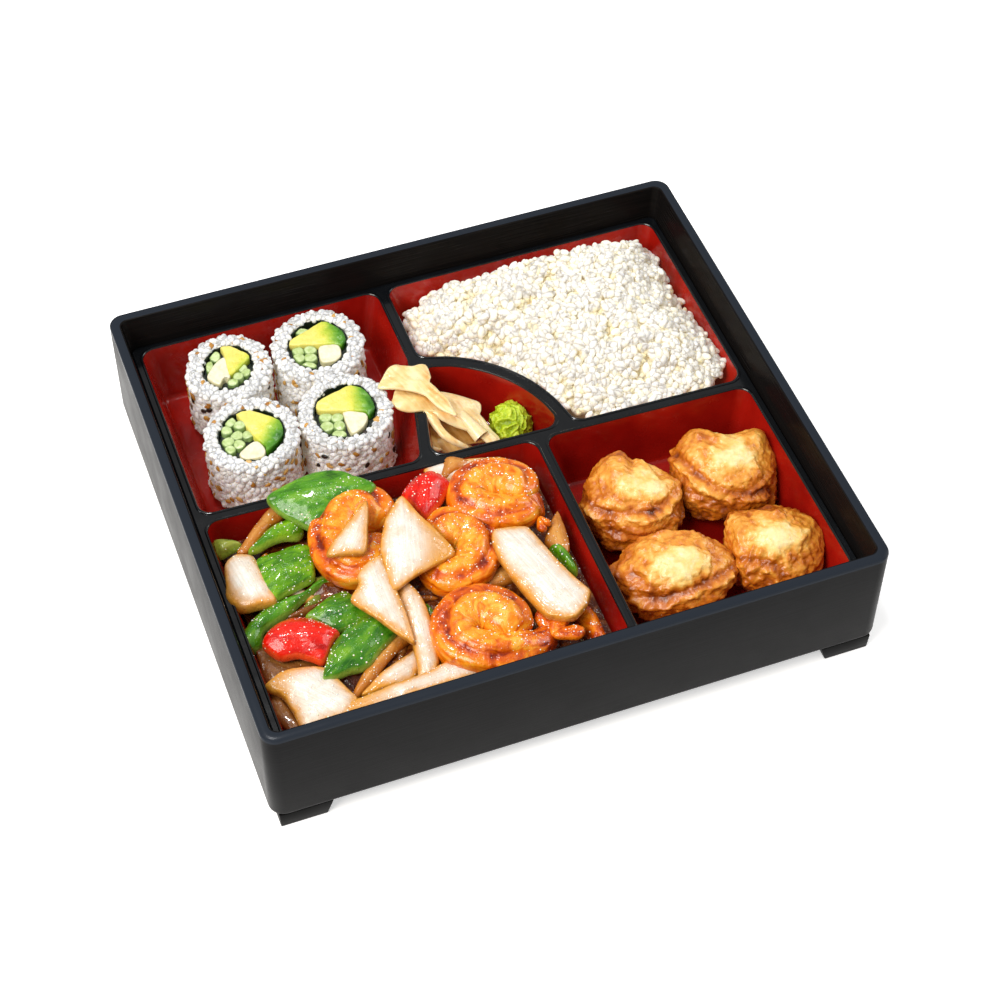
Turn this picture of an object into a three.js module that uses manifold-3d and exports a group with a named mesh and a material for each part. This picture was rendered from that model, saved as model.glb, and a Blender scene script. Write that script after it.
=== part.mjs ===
// A filled bento box: a black lacquer box on four corner feet, a drop-in tray with five red
// compartments, and the meal in them: inside-out sushi rolls, steamed rice, pickled ginger with
// wasabi, fried dumplings and a shrimp stir-fry.
// Millimetres, +Z up. The origin is on the ground under the middle of the box. +X runs along the
// long side and the compartments for the stir-fry and the dumplings are at the front (-Y).
import * as THREE from "three";
import { mergeVertices } from "three/addons/utils/BufferGeometryUtils.js";
import Module from "manifold-3d";

const wasm = await Module();
wasm.setup();

// ---------------------------------------------------------------- driving sizes
const BOX = {
  halfX: 135.6, // outside at the rim
  halfY: 122.2,
  height: 62.5, // ground to rim
  footHeight: 8,
  draft: 0.1, // how much smaller each half is at the base
  cornerRadius: 6.5,
  baseRounding: 3.2,
  rimWall: 4.8, // wall at the rim
  ledgeWall: 6.9, // wall just above the ledge that carries the tray
  lowerWall: 8.7, // wall below the ledge
  floorTop: 10,
  innerRadius: 3.5,
};
const TRAY = {
  top: 46.4, // height of the plate and the dividers
  plate: 2,
  floorTop: 19,
  wall: 1.8,
  halfX: 128.2,
  halfY: 115,
  compartmentHalfX: 124.5,
  compartmentHalfY: 111.4,
  divider: 5.2,
  draft: 7, // how far each wall leans in from top to floor
  cornerRadius: 6,
};
const GAP = 0.35; // clearance between neighbouring solids
const LEDGE_Z = TRAY.top - TRAY.plate - GAP;

// ---------------------------------------------------------------- outlines
const v2 = (x, y) => new THREE.Vector2(x, y);
const degrees = THREE.MathUtils.degToRad;

// An outline moved inwards by `inset`, corner by corner. The outline runs anticlockwise.
function offsetOutline(points, inset) {
  return points.map((p, i) => {
    const before = points[(i + points.length - 1) % points.length];
    const after = points[(i + 1) % points.length];
    const a = p.clone().sub(before).normalize();
    const b = after.clone().sub(p).normalize();
    const normalA = v2(-a.y, a.x);
    const normalB = v2(-b.y, b.x);
    const mitre = normalA.clone().add(normalB).normalize();
    return p.clone().addScaledVector(mitre, inset / mitre.dot(normalA));
  });
}

// Each corner for which `isCorner` holds becomes an arc of that radius.
function roundOutline(points, radius, segments, isCorner = () => true) {
  return points.flatMap((p, i) => {
    if (!isCorner(i)) return [p.clone()];
    const before = points[(i + points.length - 1) % points.length];
    const after = points[(i + 1) % points.length];
    const a = before.clone().sub(p).normalize();
    const b = after.clone().sub(p).normalize();
    const half = Math.acos(THREE.MathUtils.clamp(a.dot(b), -1, 1)) / 2;
    const reach = radius / Math.tan(half);
    const centre = p.clone().addScaledVector(a.clone().add(b).normalize(), radius / Math.sin(half));
    const from = p.clone().addScaledVector(a, reach).sub(centre).angle();
    let turn = p.clone().addScaledVector(b, reach).sub(centre).angle() - from;
    turn = THREE.MathUtils.euclideanModulo(turn + Math.PI, 2 * Math.PI) - Math.PI;
    return Array.from({ length: segments + 1 }, (_, k) => {
      const angle = from + (turn * k) / segments;
      return v2(centre.x + radius * Math.cos(angle), centre.y + radius * Math.sin(angle));
    });
  });
}

const rectangle = (halfX, halfY) => [
  v2(-halfX, -halfY),
  v2(halfX, -halfY),
  v2(halfX, halfY),
  v2(-halfX, halfY),
];

const roundedRectangle = (halfX, halfY, radius, segments = 4) =>
  roundOutline(rectangle(halfX, halfY), radius, segments);

// ---------------------------------------------------------------- solids
// A closed skin through rings with equal numbers of points, each ring anticlockwise seen from the
// end that the rings run towards.
function loft(rings) {
  const n = rings[0].length;
  const positions = rings.flat().flatMap((p) => [p.x, p.y, p.z]);
  const index = [];
  for (let r = 0; r + 1 < rings.length; r++)
    for (let i = 0; i < n; i++) {
      const a = r * n + i;
      const b = r * n + ((i + 1) % n);
      index.push(a, b, b + n, a, b + n, a + n);
    }
  const cap = (ring, first, reverse) => {
    const flat = ring.map((p) => v2(p.x, p.y));
    THREE.ShapeUtils.triangulateShape(flat, []).forEach(([a, b, c]) =>
      index.push(...(reverse ? [first + a, first + c, first + b] : [first + a, first + b, first + c])),
    );
  };
  cap(rings[0], 0, true);
  cap(rings.at(-1), (rings.length - 1) * n, false);
  return new THREE.BufferGeometry()
    .setAttribute("position", new THREE.Float32BufferAttribute(positions, 3))
    .setIndex(index);
}

// The same, where each end closes on a point in its middle.
function sweep(rings) {
  const n = rings[0].length;
  const middle = (ring) =>
    ring.reduce((sum, p) => sum.add(p), new THREE.Vector3()).divideScalar(ring.length);
  const all = [...rings.flat(), middle(rings[0]), middle(rings.at(-1))];
  const start = n * rings.length;
  const last = start - n;
  const index = [];
  for (let i = 0; i < n; i++) {
    const next = (i + 1) % n;
    for (let r = 0; r + 1 < rings.length; r++) {
      const a = r * n + i;
      const b = r * n + next;
      index.push(a, b, b + n, a, b + n, a + n);
    }
    index.push(start, next, i, start + 1, last + i, last + next);
  }
  return new THREE.BufferGeometry()
    .setAttribute(
      "position",
      new THREE.Float32BufferAttribute(all.flatMap((p) => [p.x, p.y, p.z]), 3),
    )
    .setIndex(index);
}

const atHeight = (outline, z) => outline.map((p) => new THREE.Vector3(p.x, p.y, z));

// The geometry with its doubled points joined, so that it's one closed skin.
function bare(geometry) {
  const copy = geometry.clone();
  copy.deleteAttribute("normal");
  copy.deleteAttribute("uv");
  return mergeVertices(copy, 1e-3);
}

// Moves every point of a geometry: `move` changes the vector it's given.
function eachPoint(geometry, move) {
  const position = geometry.getAttribute("position");
  const p = new THREE.Vector3();
  for (let i = 0; i < position.count; i++) {
    p.fromBufferAttribute(position, i);
    move(p);
    position.setXYZ(i, p.x, p.y, p.z);
  }
  return geometry;
}

function solidOf(geometry) {
  const merged = bare(geometry);
  return new wasm.Manifold(
    new wasm.Mesh({
      numProp: 3,
      vertProperties: merged.getAttribute("position").array,
      triVerts: new Uint32Array(merged.index.array),
    }),
  );
}

function geometryOf(solid) {
  const mesh = solid.getMesh();
  return new THREE.BufferGeometry()
    .setAttribute("position", new THREE.BufferAttribute(mesh.vertProperties, 3))
    .setIndex(new THREE.BufferAttribute(mesh.triVerts, 1));
}

const largestBody = (solid) =>
  solid.decompose().reduce((best, body) => (body.volume() > best.volume() ? body : best));

// ---------------------------------------------------------------- materials
const finish = (color, roughness) =>
  new THREE.MeshStandardMaterial({ color, roughness, metalness: 0 });
const FINISHES = {
  lacquer: () => finish(0x1d1d1f, 0.35),
  tray: () => finish(0xa81410, 0.3),
  rice: () => finish(0xf0efe6, 0.5),
  nori: () => finish(0x121a12, 0.6),
  avocado: () => finish(0xe3d24f, 0.45),
  cucumber: () => finish(0xa9c98a, 0.35),
  whiteStick: () => finish(0xe6e6d2, 0.4),
  ginger: () => finish(0xefcf88, 0.35),
  wasabi: () => finish(0x9cc623, 0.6),
  dumpling: () => finish(0xd08a35, 0.5),
  shrimp: () => finish(0xe8862a, 0.25),
  onion: () => finish(0xdcc9a8, 0.2),
  greenPepper: () => finish(0x3f8a1c, 0.2),
  redPepper: () => finish(0xd01a10, 0.2),
  sauce: () => finish(0x6b3410, 0.15),
};

const bento = new THREE.Group();

// A mesh whose origin is at the middle of its own solid.
function addMesh(name, geometry, material, parent = bento) {
  geometry.computeBoundingBox();
  const centre = geometry.boundingBox.getCenter(new THREE.Vector3());
  geometry.translate(-centre.x, -centre.y, -centre.z);
  const mesh = new THREE.Mesh(geometry, material);
  mesh.name = name;
  mesh.position.copy(centre);
  parent.add(mesh);
}

// ---------------------------------------------------------------- the box
const FOOT = { reach: 20, width: 6.5, insetX: 3, insetY: 0.8, lean: 0.4, flare: 3.6, embed: 1.8 };

function makeFoot(signX, signY) {
  const section = (grow, flare, z) => {
    const outerX = BOX.halfX - FOOT.insetX - FOOT.lean + grow;
    const outerY = BOX.halfY - FOOT.insetY - FOOT.lean + grow;
    const innerX = outerX - FOOT.width - grow;
    const innerY = outerY - FOOT.width - grow;
    const endX = outerX - FOOT.reach - flare;
    const endY = outerY - FOOT.reach - flare;
    const corner = [
      v2(endX, innerY),
      v2(innerX, innerY),
      v2(innerX, endY),
      v2(outerX, endY),
      v2(outerX, outerY),
      v2(endX, outerY),
    ].map((p) => v2(p.x * signX, p.y * signY));
    return atHeight(signX * signY > 0 ? corner : corner.reverse(), z);
  };
  return loft([section(0, 0, 0), section(FOOT.lean, FOOT.flare, BOX.footHeight + FOOT.embed)]);
}

function makeBox() {
  const outside = (inset, z) =>
    atHeight(
      roundedRectangle(BOX.halfX - inset, BOX.halfY - inset, BOX.cornerRadius - inset / 3, 5),
      z,
    );
  const base = BOX.footHeight;
  const round = BOX.baseRounding;
  const shell = solidOf(
    loft([
      outside(BOX.draft + round, base),
      outside(BOX.draft + 0.3 * round, base + 0.3 * round),
      outside(BOX.draft, base + round),
      outside(0, BOX.height - 0.8),
      outside(0.8, BOX.height),
    ]),
  );
  const inside = (wall, z) =>
    atHeight(roundedRectangle(BOX.halfX - wall, BOX.halfY - wall, BOX.innerRadius, 3), z);
  const lower = loft([inside(BOX.lowerWall + 1, BOX.floorTop), inside(BOX.lowerWall, LEDGE_Z + 1)]);
  const slope = (BOX.ledgeWall - BOX.rimWall) / (BOX.height - LEDGE_Z);
  const upper = loft([
    inside(BOX.ledgeWall, LEDGE_Z),
    inside(BOX.rimWall - slope, BOX.height + 1),
  ]);
  let box = shell.subtract(solidOf(lower)).subtract(solidOf(upper));
  for (const signX of [-1, 1])
    for (const signY of [-1, 1]) box = box.add(solidOf(makeFoot(signX, signY)));
  return geometryOf(box);
}

// ---------------------------------------------------------------- the tray
// The divider from side to side isn't quite square to the box.
const dividerY = (x) => 4.6 - 0.0272 * x;
const half = TRAY.divider / 2;
const ARC = { x: -21, y: 1.5, inner: 59.6, outer: 65.8 }; // round wall between rice and ginger

function arcPoints(radius, fromDegrees, toDegrees, count) {
  return Array.from({ length: count + 1 }, (_, k) => {
    const angle = degrees(fromDegrees + ((toDegrees - fromDegrees) * k) / count);
    return v2(ARC.x + radius * Math.cos(angle), ARC.y + radius * Math.sin(angle));
  });
}

// Each compartment: its anticlockwise outline at the top of the tray, and which points are corners.
const ARC_STEPS = 8;
const SPLIT_X = 26.3; // middle of the divider between stir-fry and dumplings
const rightX = TRAY.compartmentHalfX;
const backY = TRAY.compartmentHalfY;
const cornersOnly = (count) => (i) => i < count;
const COMPARTMENTS = {
  stirFry: {
    points: [
      v2(-rightX, -backY),
      v2(SPLIT_X - 2.7, -backY),
      v2(SPLIT_X - 2.4, dividerY(SPLIT_X) - half),
      v2(-rightX, dividerY(-rightX) - half),
    ],
    isCorner: cornersOnly(4),
  },
  dumplings: {
    points: [
      v2(SPLIT_X + 1.6, -backY),
      v2(rightX, -backY),
      v2(rightX, dividerY(rightX) - half),
      v2(SPLIT_X + 2.8, dividerY(SPLIT_X) - half),
    ],
    isCorner: cornersOnly(4),
  },
  sushi: {
    points: [
      v2(-rightX, dividerY(-rightX) + half),
      v2(-26.6, dividerY(-26.6) + half),
      v2(-12.6, 66),
      v2(-12.6, backY),
      v2(-rightX, backY),
    ],
    isCorner: cornersOnly(5),
  },
  rice: {
    points: [
      v2(rightX, dividerY(rightX) + half),
      v2(rightX, backY),
      v2(-7.2, backY),
      v2(-7.2, 65.9),
      ...arcPoints(ARC.outer, 67, 15, ARC_STEPS),
      v2(45.6, dividerY(45.6) + half),
    ],
    isCorner: (i) => i < 4 || i === 4 + ARC_STEPS + 1,
  },
  ginger: {
    points: [
      v2(-21, dividerY(-21) + half),
      v2(39, dividerY(39) + half),
      ...arcPoints(ARC.inner, 17, 65, ARC_STEPS),
      v2(-8.6, 59.7),
    ],
    isCorner: (i) => i < 2 || i === 2 + ARC_STEPS + 1,
  },
};

const compartmentRing = ({ points, isCorner }, inset, z) =>
  atHeight(roundOutline(offsetOutline(points, inset), TRAY.cornerRadius - inset / 4, 3, isCorner), z);

const CUP_DEPTH = TRAY.top - TRAY.floorTop;
const floorDraft = (name) => (name === "ginger" ? 4.5 : TRAY.draft);

// The hollow of a compartment, made smaller by `gap` on every side that has a wall.
const pocket = (name, gap, extra) =>
  loft([
    compartmentRing(COMPARTMENTS[name], floorDraft(name) + gap, TRAY.floorTop + gap),
    compartmentRing(
      COMPARTMENTS[name],
      gap - (floorDraft(name) * extra) / CUP_DEPTH,
      TRAY.top + extra,
    ),
  ]);

function makeTray() {
  const plate = roundedRectangle(TRAY.halfX, TRAY.halfY, BOX.innerRadius, 3);
  let tray = solidOf(loft([atHeight(plate, TRAY.top - TRAY.plate), atHeight(plate, TRAY.top)]));
  for (const name of Object.keys(COMPARTMENTS)) {
    const cup = loft([
      compartmentRing(
        COMPARTMENTS[name],
        floorDraft(name) - TRAY.wall,
        TRAY.floorTop - TRAY.wall,
      ),
      compartmentRing(COMPARTMENTS[name], -TRAY.wall, TRAY.top - 0.6),
    ]);
    tray = tray.add(solidOf(cup));
  }
  for (const name of Object.keys(COMPARTMENTS)) tray = tray.subtract(solidOf(pocket(name, 0, 0.5)));
  return geometryOf(tray);
}

// Where food may be: inside the compartments, and above the plate between the walls of the box.
const ABOVE = 30;
const overPlate = roundedRectangle(BOX.halfX - BOX.ledgeWall - 1, BOX.halfY - BOX.ledgeWall - 1, 3, 3);
const foodSpace = Object.keys(COMPARTMENTS).reduce(
  (space, name) => space.add(solidOf(pocket(name, GAP, 1))),
  solidOf(loft([atHeight(overPlate, TRAY.top + GAP), atHeight(overPlate, TRAY.top + ABOVE)])),
);

// ---------------------------------------------------------------- sushi rolls
const ROLL = {
  height: 29,
  nori: 0.6,
  edge: 2.2, // how far the rice rounds off at each cut face
  segments: 18,
  lean: 4, // degrees towards the back
};
const ROLLS = [
  { name: "roll_1", at: [-90.4, 84.3], radius: 18.9, hole: 12.8, avocado: 0, split: -65, splitAt: -3.3 },
  { name: "roll_2", at: [-48.6, 83.7], radius: 20.6, hole: 14.3, avocado: 69, split: -21, splitAt: 0.6 },
  { name: "roll_3", at: [-92, 42.2], radius: 20.5, hole: 14.3, avocado: 11, split: -70, splitAt: 4 },
  { name: "roll_4", at: [-49.4, 41.4], radius: 20.5, hole: 14.3, avocado: 69, split: -21, splitAt: 0 },
];

// The part of a convex outline where p . (cos angle, sin angle) > offset.
function keepSide(points, angleDegrees, offset) {
  const normal = v2(Math.cos(degrees(angleDegrees)), Math.sin(degrees(angleDegrees)));
  const side = (p) => p.dot(normal) - offset;
  return points.flatMap((p, i) => {
    const next = points[(i + 1) % points.length];
    const here = side(p);
    const there = side(next);
    const kept = here > 0 ? [p.clone()] : [];
    if (here > 0 !== there > 0) kept.push(p.clone().lerp(next, here / (here - there)));
    return kept;
  });
}

const rollFoot = ({ radius }) => TRAY.floorTop + GAP + radius * Math.sin(degrees(ROLL.lean));

// The room that a roll takes up.
function rollSpace(roll) {
  const [x, y] = roll.at;
  const reach = roll.radius * 1.016 + GAP;
  const middle = ROLL.height / 2;
  return solidOf(
    new THREE.CylinderGeometry(reach, reach, ROLL.height + GAP, 24)
      .rotateX(Math.PI / 2 - degrees(ROLL.lean))
      .translate(x, y + middle * Math.sin(degrees(ROLL.lean)), rollFoot(roll) + middle),
  );
}

function makeRoll(roll, seed) {
  const { name, radius, hole, avocado, split, splitAt } = roll;
  const { height, edge } = ROLL;
  const group = new THREE.Group();
  group.position.set(...roll.at, rollFoot(roll));
  group.rotation.set(-degrees(ROLL.lean), 0, 0);
  const profile = [
    v2(hole, 0),
    v2(radius - edge, 0),
    v2(radius, edge),
    v2(radius, height - edge),
    v2(radius - edge, height),
    v2(hole, height),
    v2(hole, 0),
  ];
  const turned = (points, segments) =>
    bare(new THREE.LatheGeometry(points, segments).rotateX(Math.PI / 2));
  const rice = eachPoint(turned(profile, ROLL.segments), (p) => {
    if (Math.hypot(p.x, p.y) < hole + 1) return;
    const angle = Math.atan2(p.y, p.x);
    const wave = 0.008 * Math.sin(5 * angle + seed) + 0.008 * Math.sin(3 * angle - seed);
    p.x *= 1 + wave;
    p.y *= 1 + wave;
  });
  addMesh(`${name}_rice`, rice, FINISHES.rice(), group);

  const noriOut = hole - GAP;
  const noriIn = noriOut - ROLL.nori;
  const sheet = [
    v2(noriIn, 0.2),
    v2(noriOut, 0.2),
    v2(noriOut, height - 0.2),
    v2(noriIn, height - 0.2),
    v2(noriIn, 0.2),
  ];
  addMesh(`${name}_nori`, turned(sheet, 16), FINISHES.nori(), group);

  const round = Array.from({ length: 16 }, (_, k) => {
    const angle = (2 * Math.PI * (k + 0.5)) / 16;
    return v2(Math.cos(angle), Math.sin(angle)).multiplyScalar(noriIn * 0.98 - GAP);
  });
  const rest = keepSide(round, avocado + 180, GAP / 2);
  const fillings = [
    ["avocado", keepSide(round, avocado, GAP / 2), FINISHES.avocado()],
    ["white_stick", keepSide(rest, split, splitAt + GAP / 2), FINISHES.whiteStick()],
    ["cucumber", keepSide(rest, split + 180, GAP / 2 - splitAt), FINISHES.cucumber()],
  ];
  for (const [part, outline, material] of fillings) {
    const stick = new THREE.ExtrudeGeometry(new THREE.Shape(outline), {
      depth: height,
      bevelEnabled: false,
    });
    addMesh(`${name}_${part}`, stick, material, group);
  }
  bento.add(group);
}

// ---------------------------------------------------------------- heaps
// A mound that fills a compartment. `shore(angle)` is the height at which it leaves the wall,
// `crown` its height over the middle, `steep` how fast it gets there and `bumps` its unevenness.
function makeMound({ centre, name, shore, crown, bumps, steep = () => 1.25, steps, levels }) {
  const space = COMPARTMENTS[name].points;
  const wallAt = (angle, inset) => {
    const outline = offsetOutline(space, inset);
    const direction = v2(Math.cos(angle), Math.sin(angle));
    let best = Infinity;
    outline.forEach((p, i) => {
      const q = outline[(i + 1) % outline.length];
      const edge = q.clone().sub(p);
      const cross = direction.cross(edge);
      if (Math.abs(cross) < 1e-9) return;
      const from = p.clone().sub(centre);
      const along = from.cross(edge) / cross;
      const share = from.cross(direction) / cross;
      if (along > 0 && share >= -1e-6 && share <= 1 + 1e-6) best = Math.min(best, along);
    });
    return best;
  };
  const rings = [];
  const ringAt = (radiusOf, heightOf) =>
    Array.from({ length: steps }, (_, k) => {
      const angle = (2 * Math.PI * k) / steps;
      const reach = radiusOf(angle);
      return new THREE.Vector3(
        centre.x + reach * Math.cos(angle),
        centre.y + reach * Math.sin(angle),
        heightOf(angle),
      );
    });
  const draft = floorDraft(name);
  const insetAt = (z) => (draft * (TRAY.top - z)) / CUP_DEPTH + 1.2;
  rings.push(
    ringAt(
      (angle) => wallAt(angle, draft + 1.5),
      () => TRAY.floorTop + GAP,
    ),
  );
  for (let level = 0; level < levels; level++) {
    const share = level / levels;
    rings.push(
      ringAt(
        (angle) => wallAt(angle, insetAt(Math.min(shore(angle), TRAY.top))) * (1 - share),
        (angle) => {
          const rise = Math.sin(Math.min(share * steep(angle), 1) * (Math.PI / 2));
          return THREE.MathUtils.lerp(shore(angle), crown, rise) + bumps(angle, share);
        },
      ),
    );
  }
  return sweep(rings);
}

const makeRice = () =>
  makeMound({
    centre: v2(66, 62),
    name: "rice",
    // It lies against the dividers at the front and is steeper and clear of the walls at the back.
    shore: (angle) => 38 - 6 * Math.sin(angle + 0.15),
    crown: 58,
    steep: (angle) => 1.3 + 1.5 * Math.max(0, Math.sin(angle + 0.1)),
    bumps: (angle, share) => 4 * share * (1 - share) * 1.4 * Math.sin(3 * angle + 11 * share),
    steps: 28,
    levels: 6,
  });

const makeSauceBed = () =>
  makeMound({
    centre: v2(-50, -52),
    name: "stirFry",
    shore: (angle) => 36 + Math.sin(3 * angle),
    crown: 43,
    bumps: (angle, share) => (share > 0 ? Math.sin(5 * angle + 7 * share) : 0),
    steps: 20,
    levels: 3,
  });

// ---------------------------------------------------------------- loose pieces
// A ring of `count` points of a rounded section. `squareness` 1 is an ellipse, less is boxier.
function sectionRing(origin, across, up, halfWidth, halfThick, squareness = 0.75, count = 8) {
  const shaped = (value) => Math.sign(value) * Math.abs(value) ** squareness;
  return Array.from({ length: count }, (_, k) => {
    const angle = (2 * Math.PI * (k + 0.5)) / count;
    return origin
      .clone()
      .addScaledVector(across, halfWidth * shaped(Math.cos(angle)))
      .addScaledVector(up, halfThick * shaped(Math.sin(angle)));
  });
}

// How wide each kind of piece is along its length, as a share of its full width.
const WIDTHS = {
  strip: (t) => 0.7 + 0.3 * Math.sin(Math.PI * t),
  square: (t) => 0.84 + 0.16 * Math.sin(Math.PI * t),
  leaf: (t) => 0.14 + 0.86 * Math.sin(Math.PI * (0.06 + 0.88 * t)) ** 0.8,
  petal: (t) => 0.2 + 0.8 * Math.sin(Math.PI * (0.06 + 0.62 * t)) ** 0.9,
  kite: (t) => 0.16 + 0.84 * Math.sin(Math.PI * t ** 1.5) ** 0.9,
  wedge: (t) => 1 - 0.78 * t,
};

// A slab lying with its length along X. `bend` is the angle that it arches through and `sway` how
// far its middle bows sideways. `grow` makes it larger all round.
function makeSlab({ length, width, thick, bend = 30, sway = 0, shape }, grow, stations = 6) {
  const angle = degrees(bend);
  const radius = (length + 2 * grow) / angle;
  const rings = Array.from({ length: stations }, (_, k) => {
    const t = k / (stations - 1);
    const along = (t - 0.5) * angle;
    const side = sway * (Math.sin(Math.PI * t) - 0.5);
    const rise = radius * (Math.cos(along) - Math.cos(angle / 4));
    const origin = new THREE.Vector3(radius * Math.sin(along), side, rise);
    const up = new THREE.Vector3(Math.sin(along), 0, Math.cos(along));
    const end = k === 0 || k === stations - 1 ? 0.7 : 1;
    const halfWidth = (width / 2) * WIDTHS[shape](t) + grow;
    return sectionRing(origin, new THREE.Vector3(0, 1, 0), up, halfWidth, (thick / 2) * end + grow);
  });
  return sweep(rings);
}

// A curled shrimp lying on its side. Its body starts at the head, runs round an oval whose outside
// has the given half lengths, winding outwards, and ends in a straight flat tail.
function makeShrimp({ halfX, halfY, start, turn, body, tail = 0 }, grow, stations = 11) {
  const middleAt = (t) => {
    const angle = degrees(start + turn * t);
    const reach = 0.88 + 0.12 * Math.sin(Math.min(1.5 * t, 1) * (Math.PI / 2));
    return new THREE.Vector3(
      (halfX - body) * reach * Math.cos(angle),
      (halfY - body) * reach * Math.sin(angle),
      0,
    );
  };
  const thickness = (t) => body * (t === 0 ? 0.5 : 1.04 - 0.42 * t * t);
  const travel = (t) => middleAt(t + 0.01).sub(middleAt(t - 0.01)).normalize();
  const upright = new THREE.Vector3(0, 0, 1);
  const ring = (origin, direction, height, breadth) =>
    sectionRing(origin, upright, direction.clone().cross(upright), height + grow, breadth + grow, 1);
  const rings = Array.from({ length: stations }, (_, k) => {
    const t = k / (stations - 1);
    return ring(middleAt(t), travel(t), 0.95 * thickness(t), thickness(t));
  });
  const end = travel(1);
  for (const [share, height, breadth] of [[0.5, 0.4, 0.45], [1, 0.2, 0.8]])
    rings.push(
      ring(middleAt(1).addScaledVector(end, 3 + tail * share), end, body * height, body * breadth),
    );
  return sweep(rings);
}

// Pieces of the stir-fry. Angles in degrees: `roll` about the length, `pitch` nose down, then
// `yaw` about Z.
const SHRIMP = [
  { name: "shrimp_1", at: [-66, -26.5, 48.5], halfX: 20, halfY: 25, start: 55, turn: 270, body: 7.6 },
  { name: "shrimp_2", at: [-30, -47, 47.5], halfX: 18.5, halfY: 20, start: 200, turn: 285, body: 7.6 },
  {
    name: "shrimp_3",
    at: [-3.5, -25, 49],
    halfX: 20,
    halfY: 18.5,
    start: 290,
    turn: -300,
    body: 7.8,
    tail: 6,
  },
  {
    name: "shrimp_4",
    at: [-36, -90, 47.5],
    halfX: 20.5,
    halfY: 19.5,
    start: 15,
    turn: 280,
    body: 8,
    tail: 14,
  },
];
const SHRIMP_YAW = -21;
// kind, name, x, y, z, yaw, length, width, thickness, outline and what differs from the defaults
const SLABS = [
  ["onion", "onion_4", -48.6, -41, 59, 74, 44, 33, 3.6, "kite", { bend: 36 }],
  ["onion", "onion_3", -70.5, -30.3, 59.8, 58, 25, 18, 3, "wedge", { bend: 20 }],
  ["onion", "onion_9", -68, -62.5, 55.5, -80, 39, 17, 4, "petal", { bend: 30 }],
  ["onion", "onion_7", -1, -69.8, 53.5, -70, 42, 21, 4.2, "square", { bend: 30 }],
  ["redPepper", "pepper_red_2", -32.7, -16.5, 53, 70, 25, 21, 7, "petal", { bend: 60 }],
  ["greenPepper", "snow_pea_1", -76.2, -3, 52.5, -9, 46, 27, 7, "leaf", { roll: -12 }],
  ["greenPepper", "pepper_green_7", -82, -79, 47.5, 24, 35, 21, 5.5, "leaf", {}],
  ["redPepper", "pepper_red_1", -103.5, -65.6, 47.5, -13, 30, 17, 8, "leaf", { bend: 40 }],
  ["onion", "onion_2", -116, -30, 46, -66, 31, 19, 8, "petal", { bend: 46 }],
  ["greenPepper", "pepper_green_4", -98.5, -32.5, 46.5, -2, 24, 27, 5, "square", { bend: 36 }],
  ["onion", "onion_10", -58, -82, 49, -88, 39, 12, 4.5, "leaf", { bend: 44, sway: 5 }],
  ["greenPepper", "pepper_green_6", -85, -58, 45, -10, 28, 19, 5, "petal", {}],
  ["onion", "onion_14", -108.5, -94, 46, -24, 36, 26, 5, "petal", { bend: 46 }],
  ["onion", "onion_13", -66, -103, 47, 0, 52, 14, 4.5, "petal", { bend: 24, roll: -20 }],
  ["onion", "onion_11", -79, -86.5, 45, 39, 38, 7, 5, "strip", { bend: 40, sway: 5 }],
  ["onion", "onion_12", -74, -94, 43, 22, 27, 18, 4, "petal", {}],
  ["greenPepper", "pepper_green_2", -96.3, -11.9, 45.5, 6, 25, 12, 7, "leaf", { bend: 30, sway: 5 }],
  ["onion", "onion_1", -102.8, -5, 46, 38, 28, 7.5, 5, "strip", { bend: 24, sway: 2 }],
  ["greenPepper", "snow_pea_2", -105.6, -48.4, 42.5, 24, 45, 12, 8, "leaf", { bend: 30 }],
  ["greenPepper", "pepper_green_3", -117.5, -7, 43, -30, 14, 9, 4, "leaf", {}],
  ["onion", "onion_8", 13.5, -52, 46, -108, 24, 11, 5, "petal", { bend: 36 }],
  ["greenPepper", "pepper_green_8", 11.5, -64.5, 44, -58, 17, 12, 7, "square", {}],
  ["onion", "onion_5", -14.5, -4.5, 46.5, 60, 17, 15, 5, "petal", {}],
  ["onion", "onion_16", -110, -72, 40.5, -28, 27, 17, 5, "square", {}],
  ["onion", "onion_15", -118, -95.5, 41, -64, 21, 12, 5, "leaf", { bend: 40 }],
  ["shrimp", "shrimp_tail", 9, -94.5, 41, -72, 22, 12, 7, "leaf", { bend: 40, sway: 3 }],
].map(([kind, name, x, y, z, yaw, length, width, thick, shape, more]) => ({
  ...{ kind, name, at: [x, y, z], yaw, length, width, thick, shape },
  ...more,
}));

const place = (geometry, { at, yaw = 0, pitch = 0, roll = 0 }) =>
  geometry
    .rotateX(degrees(roll))
    .rotateY(degrees(pitch))
    .rotateZ(degrees(yaw))
    .translate(...at);

const boxesMeet = (a, b) =>
  [0, 1, 2].every((axis) => a.min[axis] < b.max[axis] && b.min[axis] < a.max[axis]);

// Each piece keeps its whole shape where nothing lies over it, and is cut back by what does.
function layPieces(pieces, laid = []) {
  for (const { name, make, material } of pieces) {
    let solid = solidOf(make(0)).intersect(foodSpace);
    for (const above of laid)
      if (boxesMeet(solid.boundingBox(), above.boundingBox())) solid = solid.subtract(above);
    solid = largestBody(solid);
    addMesh(name, geometryOf(solid), material());
    laid.push(solidOf(make(GAP)));
  }
}

const stirFryPieces = [
  ...SHRIMP.map((spec) => ({
    name: spec.name,
    make: (grow) => place(makeShrimp(spec, grow), { at: spec.at, yaw: SHRIMP_YAW }),
    material: FINISHES.shrimp,
    height: spec.at[2],
  })),
  ...SLABS.map((spec) => ({
    name: spec.name,
    make: (grow) => place(makeSlab(spec, grow), spec),
    material: FINISHES[spec.kind],
    height: spec.at[2],
  })),
].sort((a, b) => b.height - a.height);

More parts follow.
